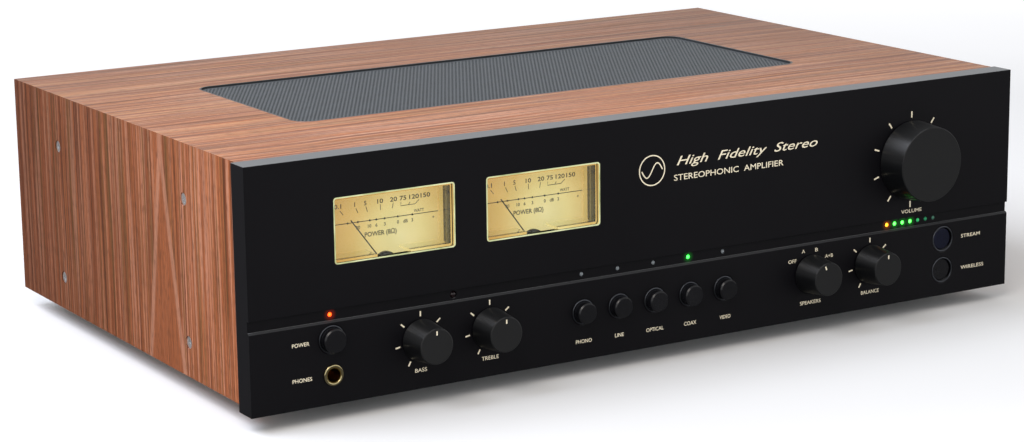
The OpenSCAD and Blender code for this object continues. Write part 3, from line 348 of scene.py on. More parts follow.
def panelMaterial():
    # anodised aluminium, bead blasted: even, near black, with a painted glow from the lit lamps on it close
    # by
    # its upward faces, the top edge and the groove's lower lip, carry a painted highlight: they are mixed
    # paler where light from above catches them
    material = grained("blackAnodisedAluminium", ("0a090d", "0e0d11"), 0.25, (0.36, 0.46), 0.006,
                       cloudSize=120, edge=0.35,
                       sockets={"Specular IOR Level": 0.2, "Emission Strength": 1.0})
    tree = material.node_tree
    shader = tree.nodes["Principled BSDF"]
    ground = shader.inputs["Base Color"].links[0].from_socket
    place = addNode(tree, "TexCoord")
    facing = addNode(tree, "SeparateXYZ", {}, {0: place.outputs["Normal"]})
    # painted highlight: faces that look up are mixed towards pale grey
    upward = addNode(tree, "MapRange", {"From Min": 0.65, "From Max": 0.95, "To Max": 0.9},
                     {"Value": facing.outputs[2]})
    paintedUpwardLight = addNode(tree, "Mix", {"data_type": "RGBA", 7: linear("6c6e70")}, {0: upward.outputs[0], 6: ground})
    glow = None
    # painted glow: emission on the panel round each lit lamp
    for x, tone in lamps["halos"]:
        lens = (x * mm, panelLow.y + lamps["haloDepth"] * mm, panelLow.z + lamps["height"] * mm)
        reach = addNode(tree, "VectorMath", {"operation": "DISTANCE", 1: lens}, {0: place.outputs["Object"]})
        share = addNode(tree, "MapRange", {"interpolation_type": "SMOOTHSTEP",
                                           "From Min": lamps["haloCore"] * mm,
                                           "From Max": lamps["haloReach"] * mm,
                                           "To Min": lamps["haloPower"], "To Max": 0.0},
                        {"Value": reach.outputs["Value"]})
        tint = addNode(tree, "VectorMath", {"operation": "SCALE", 0: linear(tone)[:3]},
                       {"Scale": share.outputs[0]})
        glow = tint if glow is None else addNode(tree, "VectorMath", {"operation": "ADD"},
                                                 {0: glow.outputs[0], 1: tint.outputs[0]})
    tree.links.new(paintedUpwardLight.outputs[2], shader.inputs["Base Color"])
    tree.links.new(glow.outputs[0], shader.inputs["Emission Color"])
    return material


print("materials")
steel = {"Metallic": 1.0}
finishes = {
    # walnut veneer: long bands along the board, pinkish streaks, open pores, and a painted shade that darkens
    # each sheet towards the back
    "veneer_top": veneerMaterial("walnutVeneerTop", 0, veneer["topStep"], veneer["topSway"],
                                 ("7c4426", "96542e", "b0683c", "bd7848", "cc8e5e"), "d8a488", "6a3a20",
                                 "ccd0d6"),
    # the side's tones are darker than the top's: painted shade on the side
    "veneer_side": veneerMaterial("walnutVeneerSide", 2, veneer["sideStep"], veneer["sideSway"],
                                  ("5f3119", "794020", "92502c", "9c5a34", "a6633c"), "b57e64", "4e2c18",
                                  "a0968c", ("95532e", "b07a60")),
    # zinc plate: cool grey metal with a cloudy sheen
    "zinc_steel": grained("zincPlatedSteel", ("cfcfd0", "ececec"), 0.4, (0.28, 0.42), 0.01,
                          edge=0.3, sockets={"Metallic": 0.85}),
    # powder-coated perforated sheet: dull blue-grey
    "mesh": grained("coatedPerforatedSheet", ("383d41", "52575c"), 0.35, (0.5, 0.65), 0.02, cloudSize=8),
    # the same paint, darker, on the grille's edge
    "dark_trim": grained("satinPaintedTrim", ("1c1f22", "2a2e32"), 0.3, (0.35, 0.5), 0.01),
    "black_anodised": panelMaterial(),
    # rolled sheet, zinc plated: cool grey with a long soft sheen
    "plated_steel": grained("zincPlatedSheet", ("8e9294", "b4b7b9"), 0.6, (0.3, 0.45), 0.01, (1, 8, 1),
                            sockets=steel),
    # powder coat with orange peel
    "black_steel": grained("blackPowderCoat", ("121214", "1b1b1e"), 0.7, (0.45, 0.6), 0.05),
    # moulded rubber: dull black, slightly open
    "foot_plastic": grained("mouldedRubberFoot", ("0e0e0e", "191918"), 0.5, (0.6, 0.8), 0.03),
    "clear_acrylic": acrylicMaterial(),
    "dial_paper": dialPaperMaterial(),
    # polished black moulding that mirrors the lit dial
    "meter_black": grained("polishedBlackMoulding", ("08080a", "101012"), 0.4, (0.08, 0.16), 0.002),
    "knob_black": knobMaterial(),
    # ground round: bright, with a fine line along it
    "shaft_steel": grained("groundSteel", ("9c9da0", "c4c5c8"), 0.2, (0.2, 0.34), 0.005, (1, 30, 1),
                           sockets=steel),
    # stamped and plated: mid grey, a little cloudy
    "control_metal": grained("stampedZincSteel", ("7d7f82", "a9abae"), 0.5, (0.3, 0.45), 0.01, sockets=steel),
    # gloss moulding: a tight bright edge
    "button_black": grained("glossBlackMoulding", ("0b0b0e", "131317"), 0.3, (0.2, 0.3), 0.004, cloudSize=30,
                            edge=0.3, sockets={"Specular IOR Level": 0.5}),
    # gloss disc: near black with a faint navy cast
    "navy_gloss": grained("navyGlossLens", ("0a0c1a", "12162a"), 0.3, (0.12, 0.2), 0.002, edge=0.4),
    # hole edges turned bright through the anodising
    "bright_edge": grained("turnedEdge", ("4c4e54", "7c7f86"), 0.25, (0.28, 0.4), 0.004, sockets=steel),
    "acrylic_edge": acrylicEdgeMaterial(),
    "lamp_lens": lampMaterial(),
    # moulded lens that passes infrared: glossy, almost black, a red cast
    "eye_lens": grained("infraredLens", ("0c0506", "1a0a0d"), 0.3, (0.08, 0.14), 0.002),
    # solder mask over copper: glossy green, streaked by the tracks beneath
    "circuit_green": grained("solderMask", ("0c2a18", "1d5a34"), 1.1, (0.25, 0.4), 0.03, (1, 6, 1),
                             cloudSize=6),
    # nickel over polished brass: pale, with sharp reflections
    "socket_rim": grained("polishedNickelBrass", ("a89460", "e6dcb4"), 0.3, (0.1, 0.2), 0.003, sockets=steel),
    # gold plate over turned brass: warm and glossy
    "gilt_brass": grained("goldPlatedBrass", ("a8843c", "d8b768"), 0.3, (0.16, 0.28), 0.004, sockets=steel),
    # tape wound over copper: amber, ridged turn by turn
    "winding": grained("tapedWinding", ("6a4418", "b4803a"), 0.8, (0.25, 0.4), 0.06, (1, 1, 10)),
    # anodised extrusion: dull black
    "sink_black": grained("blackAnodisedFins", ("0f0f11", "1a1a1d"), 0.3, (0.35, 0.5), 0.01),
    # heat-shrunk film: smooth, dark blue, glossy
    "capacitor_sleeve": grained("shrinkSleeve", ("0c1020", "1a2036"), 0.8, (0.2, 0.32), 0.01),
    # tinned sheet: pale grey, soft sheen
    "tin_shell": grained("tinnedShell", ("9a9ca0", "c8cacd"), 0.4, (0.25, 0.4), 0.01, sockets=steel),
    # moulded nylon: black and satin
    "post_plastic": grained("mouldedNylon", ("0e0e0f", "18181a"), 0.4, (0.35, 0.5), 0.02),
    # the same nylon, coloured through: deep red
    "cap_red": grained("redMouldedNylon", ("6e0c0a", "90140f"), 0.4, (0.25, 0.38), 0.015),
    "cap_black": grained("blackMouldedNylon", ("0c0c0d", "161617"), 0.4, (0.25, 0.38), 0.015),
    # moulded polyamide: black, with a faint grain
    "mains_plastic": grained("mouldedPolyamide", ("0f0f0f", "1a1a1a"), 0.5, (0.4, 0.55), 0.02),
}

# every CAD node takes the finish of its own slot
for name, node in nodes.items():
    slotName = node.data.materials[0].name.split(".")[0]
    node.data.materials[0] = finishes[slotName]
nodes["stream_button"].data.materials[0] = finishes["navy_gloss"]


def directions(degrees):
    # unit vectors at these angles: (cos a, sin a)
    turn = np.radians(degrees)
    return np.stack([np.cos(turn), np.sin(turn)], 1)


def gridFaces(rows, columns, closedAlong, closedAcross):
    # quads between neighbouring points of a rows x columns grid, numbered row by row
    i, j = np.meshgrid(np.arange(rows if closedAlong else rows - 1),
                       np.arange(columns if closedAcross else columns - 1), indexing="ij")
    i, j = i.ravel(), j.ravel()
    nextI, nextJ = (i + 1) % rows, (j + 1) % columns
    return np.stack([i * columns + j, i * columns + nextJ, nextI * columns + nextJ, nextI * columns + j], 1)


def closeMesh(mesh, weld=0.0, fill=False):
    # joins points nearer than weld (in metres), fills open edges and turns every face outwards
    solid = bmesh.new()
    solid.from_mesh(mesh)
    if weld:
        bmesh.ops.remove_doubles(solid, verts=solid.verts, dist=weld)
    if fill:
        bmesh.ops.holes_fill(solid, edges=[e for e in solid.edges if e.is_boundary])
    bmesh.ops.recalc_face_normals(solid, faces=solid.faces)
    solid.to_mesh(mesh)
    solid.free()


printFoot = -0.02       # mm; every print reaches this far into the face it lies on


def strokeMesh(path, width, depth, closed=False):
    # a rectangle carried along a flat path: point + side * (+-width / 2), from its foot to depth; all in mm
    path = np.asarray(path, float)
    if closed:
        ahead = np.roll(path, -1, 0) - np.roll(path, 1, 0)
    else:
        ahead = np.gradient(path, axis=0)
    ahead /= np.linalg.norm(ahead, axis=1, keepdims=True)
    side = np.stack([-ahead[:, 1], ahead[:, 0]], 1) * width / 2
    count = len(path)
    low, high = np.full((count, 1), printFoot), np.full((count, 1), depth)
    corners = np.stack([np.hstack([path + side, high]), np.hstack([path - side, high]),
                        np.hstack([path - side, low]), np.hstack([path + side, low])], 1)
    faces = gridFaces(count, 4, closed, True).tolist()
    if not closed:
        last = 4 * count
        faces += [[3, 2, 1, 0], [last - 4, last - 3, last - 2, last - 1]]
    mesh = bpy.data.meshes.new("stroke")
    mesh.from_pydata(corners.reshape(-1, 3).tolist(), [], faces)
    return mesh


capHeight = 0.729       # of the built-in font at size 1


def letterMesh(text, height, width, depth, swell, slant):
    # letters laid flat and centred: cap height and overall width in mm; width 0 keeps the font's own
    curve = bpy.data.curves.new("letters", "FONT")
    curve.body = text
    curve.extrude = 0.5
    curve.resolution_u = 3
    curve.offset = swell
    curve.shear = slant
    holder = bpy.data.objects.new("letters", curve)
    bpy.context.scene.collection.objects.link(holder)
    bpy.context.view_layer.update()
    mesh = bpy.data.meshes.new_from_object(holder.evaluated_get(bpy.context.evaluated_depsgraph_get()))
    bpy.data.objects.remove(holder)
    bpy.data.curves.remove(curve)
    points = np.empty(len(mesh.vertices) * 3, np.float32)
    mesh.vertices.foreach_get("co", points)
    points = points.reshape(-1, 3)
    low, high = points.min(0), points.max(0)
    tall = height / capHeight
    wide = width / (high[0] - low[0]) if width else tall
    points[:, 0] = (points[:, 0] - (low[0] + high[0]) / 2) * wide
    points[:, 1] = points[:, 1] * tall - height / 2
    points[:, 2] = np.where(points[:, 2] > 0, depth, printFoot)
    mesh.vertices.foreach_set("co", points.ravel())
    return mesh


def printPiece(name, body, place, labels, strokes, ink, depth=0.05, swell=0.0):
    # letters and strokes joined into one thin print; labels: text, u, v, height, width[, slant], in mm
    made = bmesh.new()
    for text, u, v, height, width, *slant in labels:
        mesh = letterMesh(text, height, width, depth, swell, slant[0] if slant else 0.0)
        mesh.transform(Matrix.Translation((u, v, 0)))
        made.from_mesh(mesh)
        bpy.data.meshes.remove(mesh)
    for path, width, closed in strokes:
        mesh = strokeMesh(path, width, depth, closed)
        made.from_mesh(mesh)
        bpy.data.meshes.remove(mesh)
    made.transform(place @ Matrix.Scale(mm, 4))
    bmesh.ops.recalc_face_normals(made, faces=made.faces)
    mesh = bpy.data.meshes.new(name)
    made.to_mesh(mesh)
    made.free()
    return addPiece(name, mesh, body, ink)


def addPiece(name, mesh, body, material, smooth=False):
    # one named piece that rides on its body
    piece = bpy.data.objects.new(name, mesh)
    bpy.context.scene.collection.objects.link(piece)
    mesh.materials.append(material)
    mesh.polygons.foreach_set("use_smooth", np.full(len(mesh.polygons), smooth))
    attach(piece, body)
    return piece


def frontPlace(x, y, z):
    # flat u, v, lift to the row frame, for a face that looks along -Y
    return Matrix(((1, 0, 0, x), (0, 0, -1, y), (0, 1, 0, z), (0, 0, 0, 1)))


def rearPlace(x, y, z):
    # the same for a face that looks along +Y
    return Matrix(((-1, 0, 0, x), (0, 0, 1, y), (0, 1, 0, z), (0, 0, 0, 1)))


def rayPath(centre, angle, inner, outer):
    # a short radial line: centre + r * (sin angle, cos angle), angle clockwise from the top
    direction = np.array([math.sin(math.radians(angle)), math.cos(math.radians(angle))])
    return [np.array(centre) + inner * direction, np.array(centre) + outer * direction]


def circlePath(centre, radius, count=64):
    # centre + radius * (cos a, sin a)
    return np.array(centre) + radius * directions(np.linspace(0, 360, count, endpoint=False))


# screen-printed ink: thin, matt, warm cream
creamInk = grained("creamScreenInk", ("e6dabc", "f4ead0"), 0.3, (0.55, 0.7), 0.004, cloudSize=5,
                   sockets={"Specular IOR Level": 0.25})
# dial ink: dark brown-grey
dialInk = grained("dialInk", ("14120a", "242014"), 0.2, (0.6, 0.7), 0.003, cloudSize=3)

panelPrintSizes = {         # mm and degrees; labels are text, u, v and width
    "labelHeight": 1.9,
    "labels": [
        ("POWER", 25.1, 29.9, 8.6), ("PHONES", 25.4, 13.6, 9.7), ("BASS", 85.8, 8.9, 6.2),
        ("TREBLE", 122.5, 9.0, 9.1), ("PHONO", 174.0, 9.0, 8.9), ("LINE", 194.1, 9.0, 5.0),
        ("OPTICAL", 214.5, 8.8, 10.0), ("COAX", 235.1, 8.7, 7.2), ("VIDEO", 255.8, 8.8, 6.4),
        ("SPEAKERS", 307.9, 8.6, 12.8), ("BALANCE", 345.5, 8.6, 11.4), ("VOLUME", 371.4, 47.1, 13.1),
        ("STREAM", 410.8, 29.6, 12.6), ("WIRELESS", 412.4, 12.9, 15.2), ("OFF", 296.5, 30.8, 5.0),
        ("A", 303.3, 35.0, 1.9), ("B", 311.4, 34.9, 1.7), ("A+B", 319.2, 30.8, 5.0)],
    "volumeTicks": {"centre": (370.4, 73.6), "radius": 23.0, "length": 3.2, "width": 0.8, "count": 10},
    "smallTicks": {"centres": [(86.0, 23.1), (122.6, 23.1), (345.0, 23.1)], "radius": 12.16, "length": 2.4,
                   "width": 0.7, "angles": [-150, -100, -50, 0, 50, 100, 150]},
    "emblem": {"centre": (213.0, 86.5), "radius": 7.2, "line": 0.55, "waveHeight": 3.4, "waveInset": 1.3},
    "swell": 0.002,         # added round the font's strokes, at size 1
    "taglines": [("High  Fidelity  Stereo", 269.2, 89.6, 4.6, 84.0, 0.35),
                 ("STEREOPHONIC  AMPLIFIER", 258.0, 81.5, 3.0, 64.8)],
}


def makePanelPrint():
    # names, scales and the emblem; u and v in mm from the panel's lower left corner
    sizes = panelPrintSizes
    labels = [(t, u, v, sizes["labelHeight"], w) for t, u, v, w in sizes["labels"]] + sizes["taglines"]
    volume, small = sizes["volumeTicks"], sizes["smallTicks"]
    volumeAngles = [i * 360 / volume["count"] for i in range(volume["count"])]
    scales = [(volume["centre"], volumeAngles, volume)]
    scales += [(centre, small["angles"], small) for centre in small["centres"]]
    strokes = []
    for centre, angles, ticks in scales:
        half = ticks["length"] / 2
        for angle in angles:
            ray = rayPath(centre, angle, ticks["radius"] - half, ticks["radius"] + half)
            strokes.append((ray, ticks["width"], False))
    emblem = sizes["emblem"]
    strokes.append((circlePath(emblem["centre"], emblem["radius"]), emblem["line"], True))
    across = np.linspace(-1, 1, 49)
    wave = np.stack([emblem["centre"][0] + across * (emblem["radius"] - emblem["waveInset"]),
                     emblem["centre"][1] + emblem["waveHeight"] * np.sin(across * np.pi)], 1)
    strokes.append((wave, emblem["line"], False))
    return printPiece("panelPrint", "case", frontPlace(panelLow.x, panelLow.y, panelLow.z), labels, strokes,
                      creamInk, swell=sizes["swell"])


dialSizes = {               # mm from the window's middle
    "upper": [("0.1", -22.1, 3.6), ("1", -13.5, 0), ("5", -8.1, 0), ("10", -0.5, 3.0), ("20", 6.4, 3.6),
              ("75", 11.3, 3.4), ("120", 17.0, 5.0), ("150", 22.9, 5.0)],
    "upperZ": 7.8, "upperHeight": 2.1,
    "lower": [("20", -12.1), ("10", -6.2), ("6", -2.7), ("3", 1.6), ("0", 8.4), ("dB", 12.3), ("3", 15.8),
              ("+", 26.8)],
    "lowerZ": -3.0, "lowerHeight": 1.6,
    "words": [("WATT", 19.4, 1.1, 1.4, 5.2), ("POWER (8Ω)", -0.6, -6.8, 2.2, 16.4)],
    "lineZ": -0.5, "lineFrom": -31.0, "lineTo": 29.4, "lineWidth": 0.34,
    "dots": [-17.3, -12.1, -6.0, -2.7, 1.6, 8.4, 15.9], "dotRadius": 0.5,
    "ticks": [-22.1, -13.5, -8.1, -0.5, 6.4], "tickShare": 0.88, "tickZ": 3.6, "tickLength": 2.6,
    "bracket": [[(10.2, 5.9), (10.0, 4.2), (17.4, 4.2), (19.6, 6.0)], [(14.0, 4.2), (14.9, 5.4)]],
    "fineWidth": 0.3,
    "pivotZ": -20.9,
    "depth": 0.03, "swell": 0.016,
}


def makeDialPrint(name, centre):
    # two rows of numbers on either side of a line, with short ticks that lean away from the pivot
    sizes = dialSizes
    labels = [(t, x, sizes["upperZ"], sizes["upperHeight"], w) for t, x, w in sizes["upper"]]
    labels += [(t, x, sizes["lowerZ"], sizes["lowerHeight"], 0) for t, x in sizes["lower"]]
    labels += sizes["words"]
    line = [(sizes["lineFrom"], sizes["lineZ"]), (sizes["lineTo"], sizes["lineZ"])]
    strokes = [(line, sizes["lineWidth"], False)]
    for x in sizes["dots"]:     # a dot is a ring whose stroke reaches its middle
        ring = circlePath((x, sizes["lineZ"]), sizes["dotRadius"] / 2, 10)
        strokes.append((ring, sizes["dotRadius"], True))
    for x in sizes["ticks"]:
        lean = math.atan2(x, sizes["upperZ"] - sizes["pivotZ"])
        base = np.array([x * sizes["tickShare"], sizes["tickZ"]])
        tip = base + sizes["tickLength"] * np.array([math.sin(lean), math.cos(lean)])
        strokes.append(([base, tip], sizes["fineWidth"], False))
    strokes += [(path, sizes["fineWidth"], False) for path in sizes["bracket"]]
    place = frontPlace(centre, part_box("meter_dials")[0].y, meters["windowZ"])
    return printPiece(name, "case", place, labels, strokes, dialInk, depth=sizes["depth"],
                      swell=sizes["swell"])


windowEdge = {"width": 62, "height": 30.4, "corner": 1.3, "inset": 0.35, "line": 0.62, "back": 0.16,
              "depth": 0.1}


def makeWindowEdge(name, centre):
    # a narrow band carried round the window's rounded rectangle: corner centre + corner * (cos a, sin a)
    sizes = windowEdge
    outward = directions(np.arange(0, 360, 15) + 7.5)
    half = np.array([sizes["width"] / 2, sizes["height"] / 2]) - sizes["inset"] - sizes["corner"]
    path = np.sign(outward) * half + outward * sizes["corner"]
    place = frontPlace(centre, panelLow.y + sizes["back"] * mm, meters["windowZ"])
    return printPiece(name, "case", place, [], [(path, sizes["line"], True)], finishes["acrylic_edge"],
                      depth=sizes["depth"])


knobMark = {"inner": 5.3, "outer": 7.2, "width": 0.7, "sunk": 0.03,
            "angles": {"bass": 0, "treble": 0, "balance": 0, "speakers": -18}}


def makeKnobMark(control, angle):
    # the short line on a knob's face, which turns with it
    low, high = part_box(control + "_knob")
    centre = (low + high) / 2
    stroke = (rayPath((0, 0), angle, knobMark["inner"], knobMark["outer"]), knobMark["width"], False)
    place = frontPlace(centre.x, low.y + knobMark["sunk"] * mm, centre.z)
    return printPiece(control + "Mark", control, place, [], [stroke], creamInk)


print("prints")
makePanelPrint()
makeDialPrint("dialPrintLeft", meters["centres"][0])
makeDialPrint("dialPrintRight", meters["centres"][1])
makeWindowEdge("windowEdgeLeft", meters["centres"][0])
makeWindowEdge("windowEdgeRight", meters["centres"][1])
for control, angle in knobMark["angles"].items():
    makeKnobMark(control, angle)


# mm; the pitch is coarser than a real mesh's, so that it shows
ventSizes = {"pitch": 2.1, "hole": 1.4, "thick": 0.9, "corner": 8.0, "margin": 1.0, "sunk": 0.02,
             "rim": 2.2, "rimClear": 0.05, "rimSunk": 0.08, "rimBack": 1.0}
ventLow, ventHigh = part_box("vent_grille")
ventMiddle = np.array([(ventLow.x + ventHigh.x) / 2, (ventLow.y + ventHigh.y) / 2])
ventHalf = np.array([(ventHigh.x - ventLow.x) / 2, (ventHigh.y - ventLow.y) / 2])


def ventPlate(name, xFrom, xTo):
    # hexagonal cells, each with a hexagonal hole: corner k of a cell is centre + r * (cos, sin)(60 k + 30)
    pitch, hole = ventSizes["pitch"] * mm, ventSizes["hole"] * mm / 2
    rowStep = pitch * math.sqrt(3) / 2
    rows = int(2 * ventHalf[1] / rowStep) - 1
    columns = int(2 * ventHalf[0] / pitch) - 1
    r, c = np.meshgrid(np.arange(rows), np.arange(columns), indexing="ij")
    x = ventMiddle[0] + (c - (columns - 1) / 2 + 0.5 * (r % 2) - 0.25) * pitch
    y = ventMiddle[1] + (r - (rows - 1) / 2) * rowStep
    centres = np.stack([x.ravel(), y.ravel()], 1)
    corner = ventSizes["corner"] * mm
    past = np.maximum(np.abs(centres - ventMiddle) - (ventHalf - corner), 0)
    inside = np.hypot(past[:, 0], past[:, 1]) < corner - ventSizes["margin"] * mm
    centres = centres[inside & (centres[:, 0] >= xFrom) & (centres[:, 0] < xTo)]
    outward = directions(60 * np.arange(6) + 30)
    outer = pitch / math.sqrt(3)
    top, bottom = ventHigh.z - ventSizes["sunk"] * mm, ventHigh.z - ventSizes["thick"] * mm
    rings = []
    for radius, z in ((outer, top), (hole, top), (hole, bottom), (outer, bottom)):
        flat = centres[:, None, :] + radius * outward[None]
        rings.append(np.concatenate([flat, np.full(flat.shape[:2] + (1,), z)], 2))
    points = np.stack(rings, 1).reshape(-1, 3)      # cell, ring, corner
    oneCell = gridFaces(len(rings), 6, False, True)
    faces = (oneCell[None] + 6 * len(rings) * np.arange(len(centres))[:, None, None]).reshape(-1, 4)
    mesh = bpy.data.meshes.new(name)
    mesh.from_pydata(points.tolist(), [], faces.tolist())
    closeMesh(mesh, weld=0.02 * mm)
    return addPiece(name, mesh, "case", finishes["mesh"])


def ventRim():
    # a flat border just under the sheet's face: corner centre + radius * (cos a, sin a)
    corner = ventSizes["corner"] * mm
    outward = directions(np.arange(0, 360, 10) + 5)
    count = len(outward)
    outline = ventMiddle + np.sign(outward) * (ventHalf - corner)
    outer, inner = corner - ventSizes["rimClear"] * mm, corner - ventSizes["rim"] * mm
    top, bottom = ventHigh.z - ventSizes["rimSunk"] * mm, ventHigh.z - ventSizes["rimBack"] * mm
    rings = [np.hstack([outline + outward * radius, np.full((count, 1), z)])
             for radius, z in ((outer, top), (inner, top), (inner, bottom), (outer, bottom))]
    mesh = bpy.data.meshes.new("ventRim")
    mesh.from_pydata(np.stack(rings, 1).reshape(-1, 3).tolist(), [],
                     gridFaces(count, len(rings), True, True).tolist())
    closeMesh(mesh)
    return addPiece("ventRim", mesh, "case", finishes["mesh"])


print("vent mesh")
for piece in (ventPlate("ventMeshLeft", ventLow.x, ventMiddle[0]),
              ventPlate("ventMeshRight", ventMiddle[0], ventHigh.x), ventRim()):
    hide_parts("vent_grille")


def gridMesh(name, points):
    # a rows x columns x 3 grid of points, closed across, with its ends and seam shut
    rows, columns = points.shape[:2]
    mesh = bpy.data.meshes.new(name)
    mesh.from_pydata(points.reshape(-1, 3).tolist(), [], gridFaces(rows, columns, False, True).tolist())
    closeMesh(mesh, weld=1e-6, fill=True)
    return mesh


pivotDome = {"radius": 5.9, "bulge": 1.2, "pivotHeight": 58.1, "rows": 14, "columns": 36}


def makePivotDome(name, centre):
    # a flattened dome over the meter's bridge: x = r cos a, z = r sin a, y = face - bulge * sqrt(1 - r^2)
    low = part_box("meter_movements")[0]
    bridgeZ = panelLow.z + pivotDome["pivotHeight"] * mm
    share = np.linspace(0, 1, pivotDome["rows"])[:, None]
    turn = np.linspace(0, 2 * np.pi, pivotDome["columns"], endpoint=False)[None]
    radius = pivotDome["radius"] * mm
    x = centre + radius * share * np.cos(turn)
    z = bridgeZ + radius * share * np.sin(turn)
    y = low.y - pivotDome["bulge"] * mm * np.sqrt(1 - share ** 2) + 0 * turn
    mesh = gridMesh(name, np.stack([x, y, z], 2))
    return addPiece(name, mesh, "case", finishes["meter_black"], smooth=True)


bandSteps = {"arc": 11, "turn": 49}     # points over the band and round the hole


def roundBand(name, centre, sizes, frontY):
    # a rounded band carried round a hole: radius = middle + half * cos a, lift = proud * sin a; sizes in mm
    arc = np.linspace(0, np.pi, bandSteps["arc"])
    inner, outer, back = sizes["inner"], sizes["outer"], -sizes["back"] * mm
    radius = ((outer + inner) / 2 + (outer - inner) / 2 * np.cos(arc)) * mm
    radius = np.concatenate([radius, radius[-1:], radius[:1]])
    lift = np.concatenate([sizes["proud"] * np.sin(arc) * mm, [back, back]])
    turn = np.linspace(0, 2 * np.pi, bandSteps["turn"])
    x = centre.x + np.outer(np.cos(turn), radius)
    z = centre.z + np.outer(np.sin(turn), radius)
    y = frontY - np.tile(lift, (len(turn), 1))
    return gridMesh(name, np.stack([x, y, z], 2))


phonesBezel = {"inner": 3.6, "outer": 4.9, "proud": 0.4, "back": 0.6}


def makePhonesBezel():
    # the bright ring round the phones socket
    low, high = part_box("phones_socket")
    mesh = roundBand("phonesBezel", (low + high) / 2, phonesBezel, low.y)
    return addPiece("phonesBezel", mesh, "case", finishes["socket_rim"], smooth=True)


holeRims = {"gap": 0.2, "width": 0.55, "proud": 0.12, "back": 0.6, "sunk": 0.05,
            "radii": {"power": 5.7, "phono": 5.2, "line": 5.2, "optical": 5.2, "coax": 5.2, "video": 5.2,
                      "stream": 5.8, "wireless": 5.8}}


def makeHoleRims():
    # one narrow turned edge round each button hole, all in one mesh
    made = bmesh.new()
    for control, holeRadius in holeRims["radii"].items():
        low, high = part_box(control + "_button")
        inner = holeRadius + holeRims["gap"]
        sizes = {**holeRims, "inner": inner, "outer": inner + holeRims["width"]}
        mesh = roundBand("rim", (low + high) / 2, sizes, panelLow.y + holeRims["sunk"] * mm)
        made.from_mesh(mesh)
        bpy.data.meshes.remove(mesh)
    mesh = bpy.data.meshes.new("holeRims")
    made.to_mesh(mesh)
    made.free()
    return addPiece("holeRims", mesh, "case", finishes["bright_edge"], smooth=True)


print("meter and socket details")
makePivotDome("pivotDomeLeft", meters["centres"][0])
makePivotDome("pivotDomeRight", meters["centres"][1])
makePhonesBezel()
makeHoleRims()


rearSizes = {               # mm; x seen from the front, v above the panel's lower edge
    "height": 2.6,
    "labels": [
        ("PHONO", 173.5, 68.0, 11.0), ("LINE", 151.5, 68.0, 7.0), ("PRE OUT", 129.5, 68.0, 13.0),
        ("COAX", 107.5, 44.0, 9.0), ("L", 162.5, 56.0, 1.6), ("R", 162.5, 32.0, 1.8),
        ("GROUND", 173.5, 90.0, 12.0), ("OPTICAL", 82.0, 44.0, 12.5), ("NETWORK", 56.0, 44.0, 15.0),
        ("SERIAL", 30.0, 44.0, 10.5), ("VIDEO", 4.0, 44.0, 9.0), ("SPEAKERS B", -54.0, 80.0, 20.0),
        ("SPEAKERS A", -54.0, 46.0, 20.0), ("LEFT", -78.0, 22.0, 7.0), ("RIGHT", -30.0, 22.0, 9.0),
        ("MAINS", -161.5, 62.0, 10.5), ("POWER", -123.5, 62.0, 11.0), ("ON", -123.5, 57.0, 4.0),
        ("OFF", -123.5, 27.0, 5.5)],
    "brackets": [(-92, -64), (-44, -16)], "bracketZ": 26.0, "line": 0.4,
}


def makeRearPrint():
    # socket names, and a line under each pair of posts
    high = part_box("rear_panel")[1]
    labels = [(t, -x, v, rearSizes["height"], w) for t, x, v, w in rearSizes["labels"]]
    strokes = [([(-left, rearSizes["bracketZ"]), (-right, rearSizes["bracketZ"])], rearSizes["line"], False)
               for left, right in rearSizes["brackets"]]
    return printPiece("rearPrint", "case", rearPlace(0, high.y, panelLow.z), labels, strokes, creamInk)


print("rear print")
makeRearPrint()


floorSizes = {"half": 12.0, "glowFrom": 0.7, "glowTo": 2.6}       # metres


def makeFloor():
    # a matt white board that brightens to plain white away from the object
    half = floorSizes["half"]
    mesh = bpy.data.meshes.new("floor")
    mesh.from_pydata([(-half, -half, 0), (half, -half, 0), (half, half, 0), (-half, half, 0)], [],
                     [(0, 1, 2, 3)])
    floor = bpy.data.objects.new("floor", mesh)
    bpy.context.scene.collection.objects.link(floor)
    material, tree, shader = newSurface("matteWhiteBoard", {"Roughness": 0.9, "Specular IOR Level": 0.0,
                                                            "Emission Color": linear("ffffff")})
    place = addNode(tree, "TexCoord")
    faint = addNode(tree, "TexNoise", {"Scale": 3.0, "Detail": 2}, {"Vector": place.outputs["Object"]})
    tone = addNode(tree, "ValToRGB", {"stops": [(noiseLow, "f4f4f4"), (noiseHigh, "f7f7f7")]},
                   {"Fac": faint.outputs["Fac"]})
    tree.links.new(tone.outputs[0], shader.inputs["Base Color"])
    reach = addNode(tree, "VectorMath", {"operation": "LENGTH"}, {0: place.outputs["Object"]})
    far = addNode(tree, "MapRange", {"From Min": floorSizes["glowFrom"], "From Max": floorSizes["glowTo"]},
                  {"Value": reach.outputs["Value"]})
    tree.links.new(far.outputs[0], shader.inputs["Emission Strength"])
    mesh.materials.append(material)
    floor.visible_glossy = False


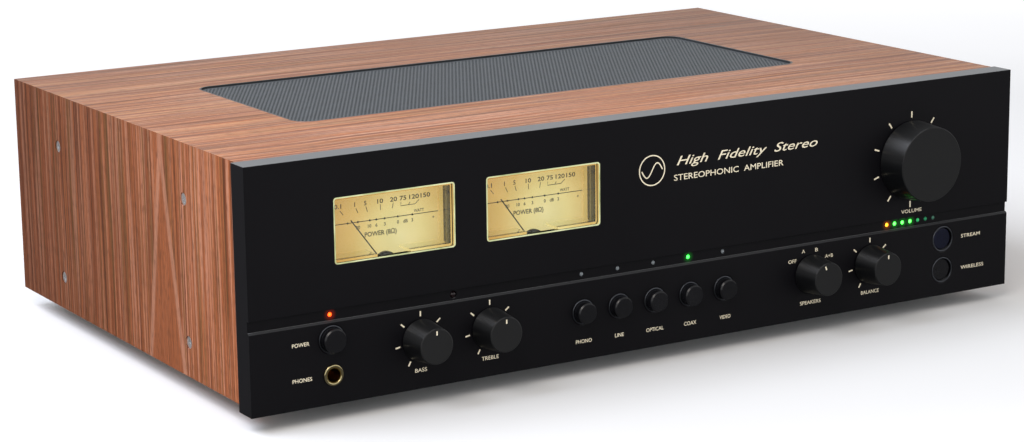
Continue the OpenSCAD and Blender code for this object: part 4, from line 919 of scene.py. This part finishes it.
studio = {
    "sky": [(0.47, 0.12), (0.5, 1.0), (0.7, 0.95), (0.85, 0.5)],    # height share, brightness
    "soft": [   # name, place, size, power, tint, looks at
        ("overhead", (-1.1, 0.15, 1.3), 0.9, 18, "ecf2ff", (-0.05, -0.05, 0.06)),
        ("backLeft", (-1.0, 1.6, 1.3), 0.9, 8, "e4ecff", (0, 0, 0.06)),
        ("leftFront", (-0.75, -0.8, 1.1), 0.7, 6, "fff6ee", (-0.1, -0.05, 0.1)),
    ],
}


def makeLight():
    # a pale sky and three soft boxes
    scene = bpy.context.scene
    world = bpy.data.worlds.new("studio")
    scene.world = world
    world.use_nodes = True
    tree = world.node_tree
    tree.nodes.clear()
    place = addNode(tree, "TexCoord")
    axes = addNode(tree, "SeparateXYZ", {}, {0: place.outputs["Generated"]})
    height = addNode(tree, "MapRange", {"From Min": -1.0}, {"Value": axes.outputs[2]})
    rise = addNode(tree, "ValToRGB", {"stops": studio["sky"]}, {"Fac": height.outputs[0]})
    background = addNode(tree, "Background", {"Color": linear("ffffff")}, {"Strength": rise.outputs[0]})
    addNode(tree, "OutputWorld", {}, {"Surface": background.outputs[0]})
    for name, at, size, power, tint, target in studio["soft"]:
        lamp = bpy.data.lights.new(name, "AREA")
        lamp.size = size
        lamp.energy = power
        lamp.color = linear(tint)[:3]
        holder = bpy.data.objects.new(name, lamp)
        holder.location = at
        holder.rotation_euler = (Vector(target) - Vector(at)).to_track_quat("-Z", "Y").to_euler()
        scene.collection.objects.link(holder)
    scene.view_settings.view_transform = "Standard"
    scene.view_settings.look = "None"


# metres, degrees and mm; azimuth turns from +Y towards +X
camera = {"at": (-0.7079, -1.1709, 0.3538), "azimuth": 31.19, "pitch": -12.77, "roll": -0.73, "lens": 94.76}


def makeCamera():
    # looks along +Y before azimuth, pitch and roll turn it
    data = bpy.data.cameras.new("camera")
    data.lens = camera["lens"]
    data.sensor_width = 36.0
    data.clip_start = 0.05
    data.clip_end = 50
    holder = bpy.data.objects.new("camera", data)
    holder.matrix_world = (Matrix.Translation(camera["at"])
                           @ Matrix.Rotation(math.radians(-camera["azimuth"]), 4, "Z")
                           @ Matrix.Rotation(math.radians(90 + camera["pitch"]), 4, "X")
                           @ Matrix.Rotation(math.radians(camera["roll"]), 4, "Z"))
    bpy.context.scene.collection.objects.link(holder)
    bpy.context.scene.camera = holder


print("stage and light")
makeFloor()
makeLight()
makeCamera()
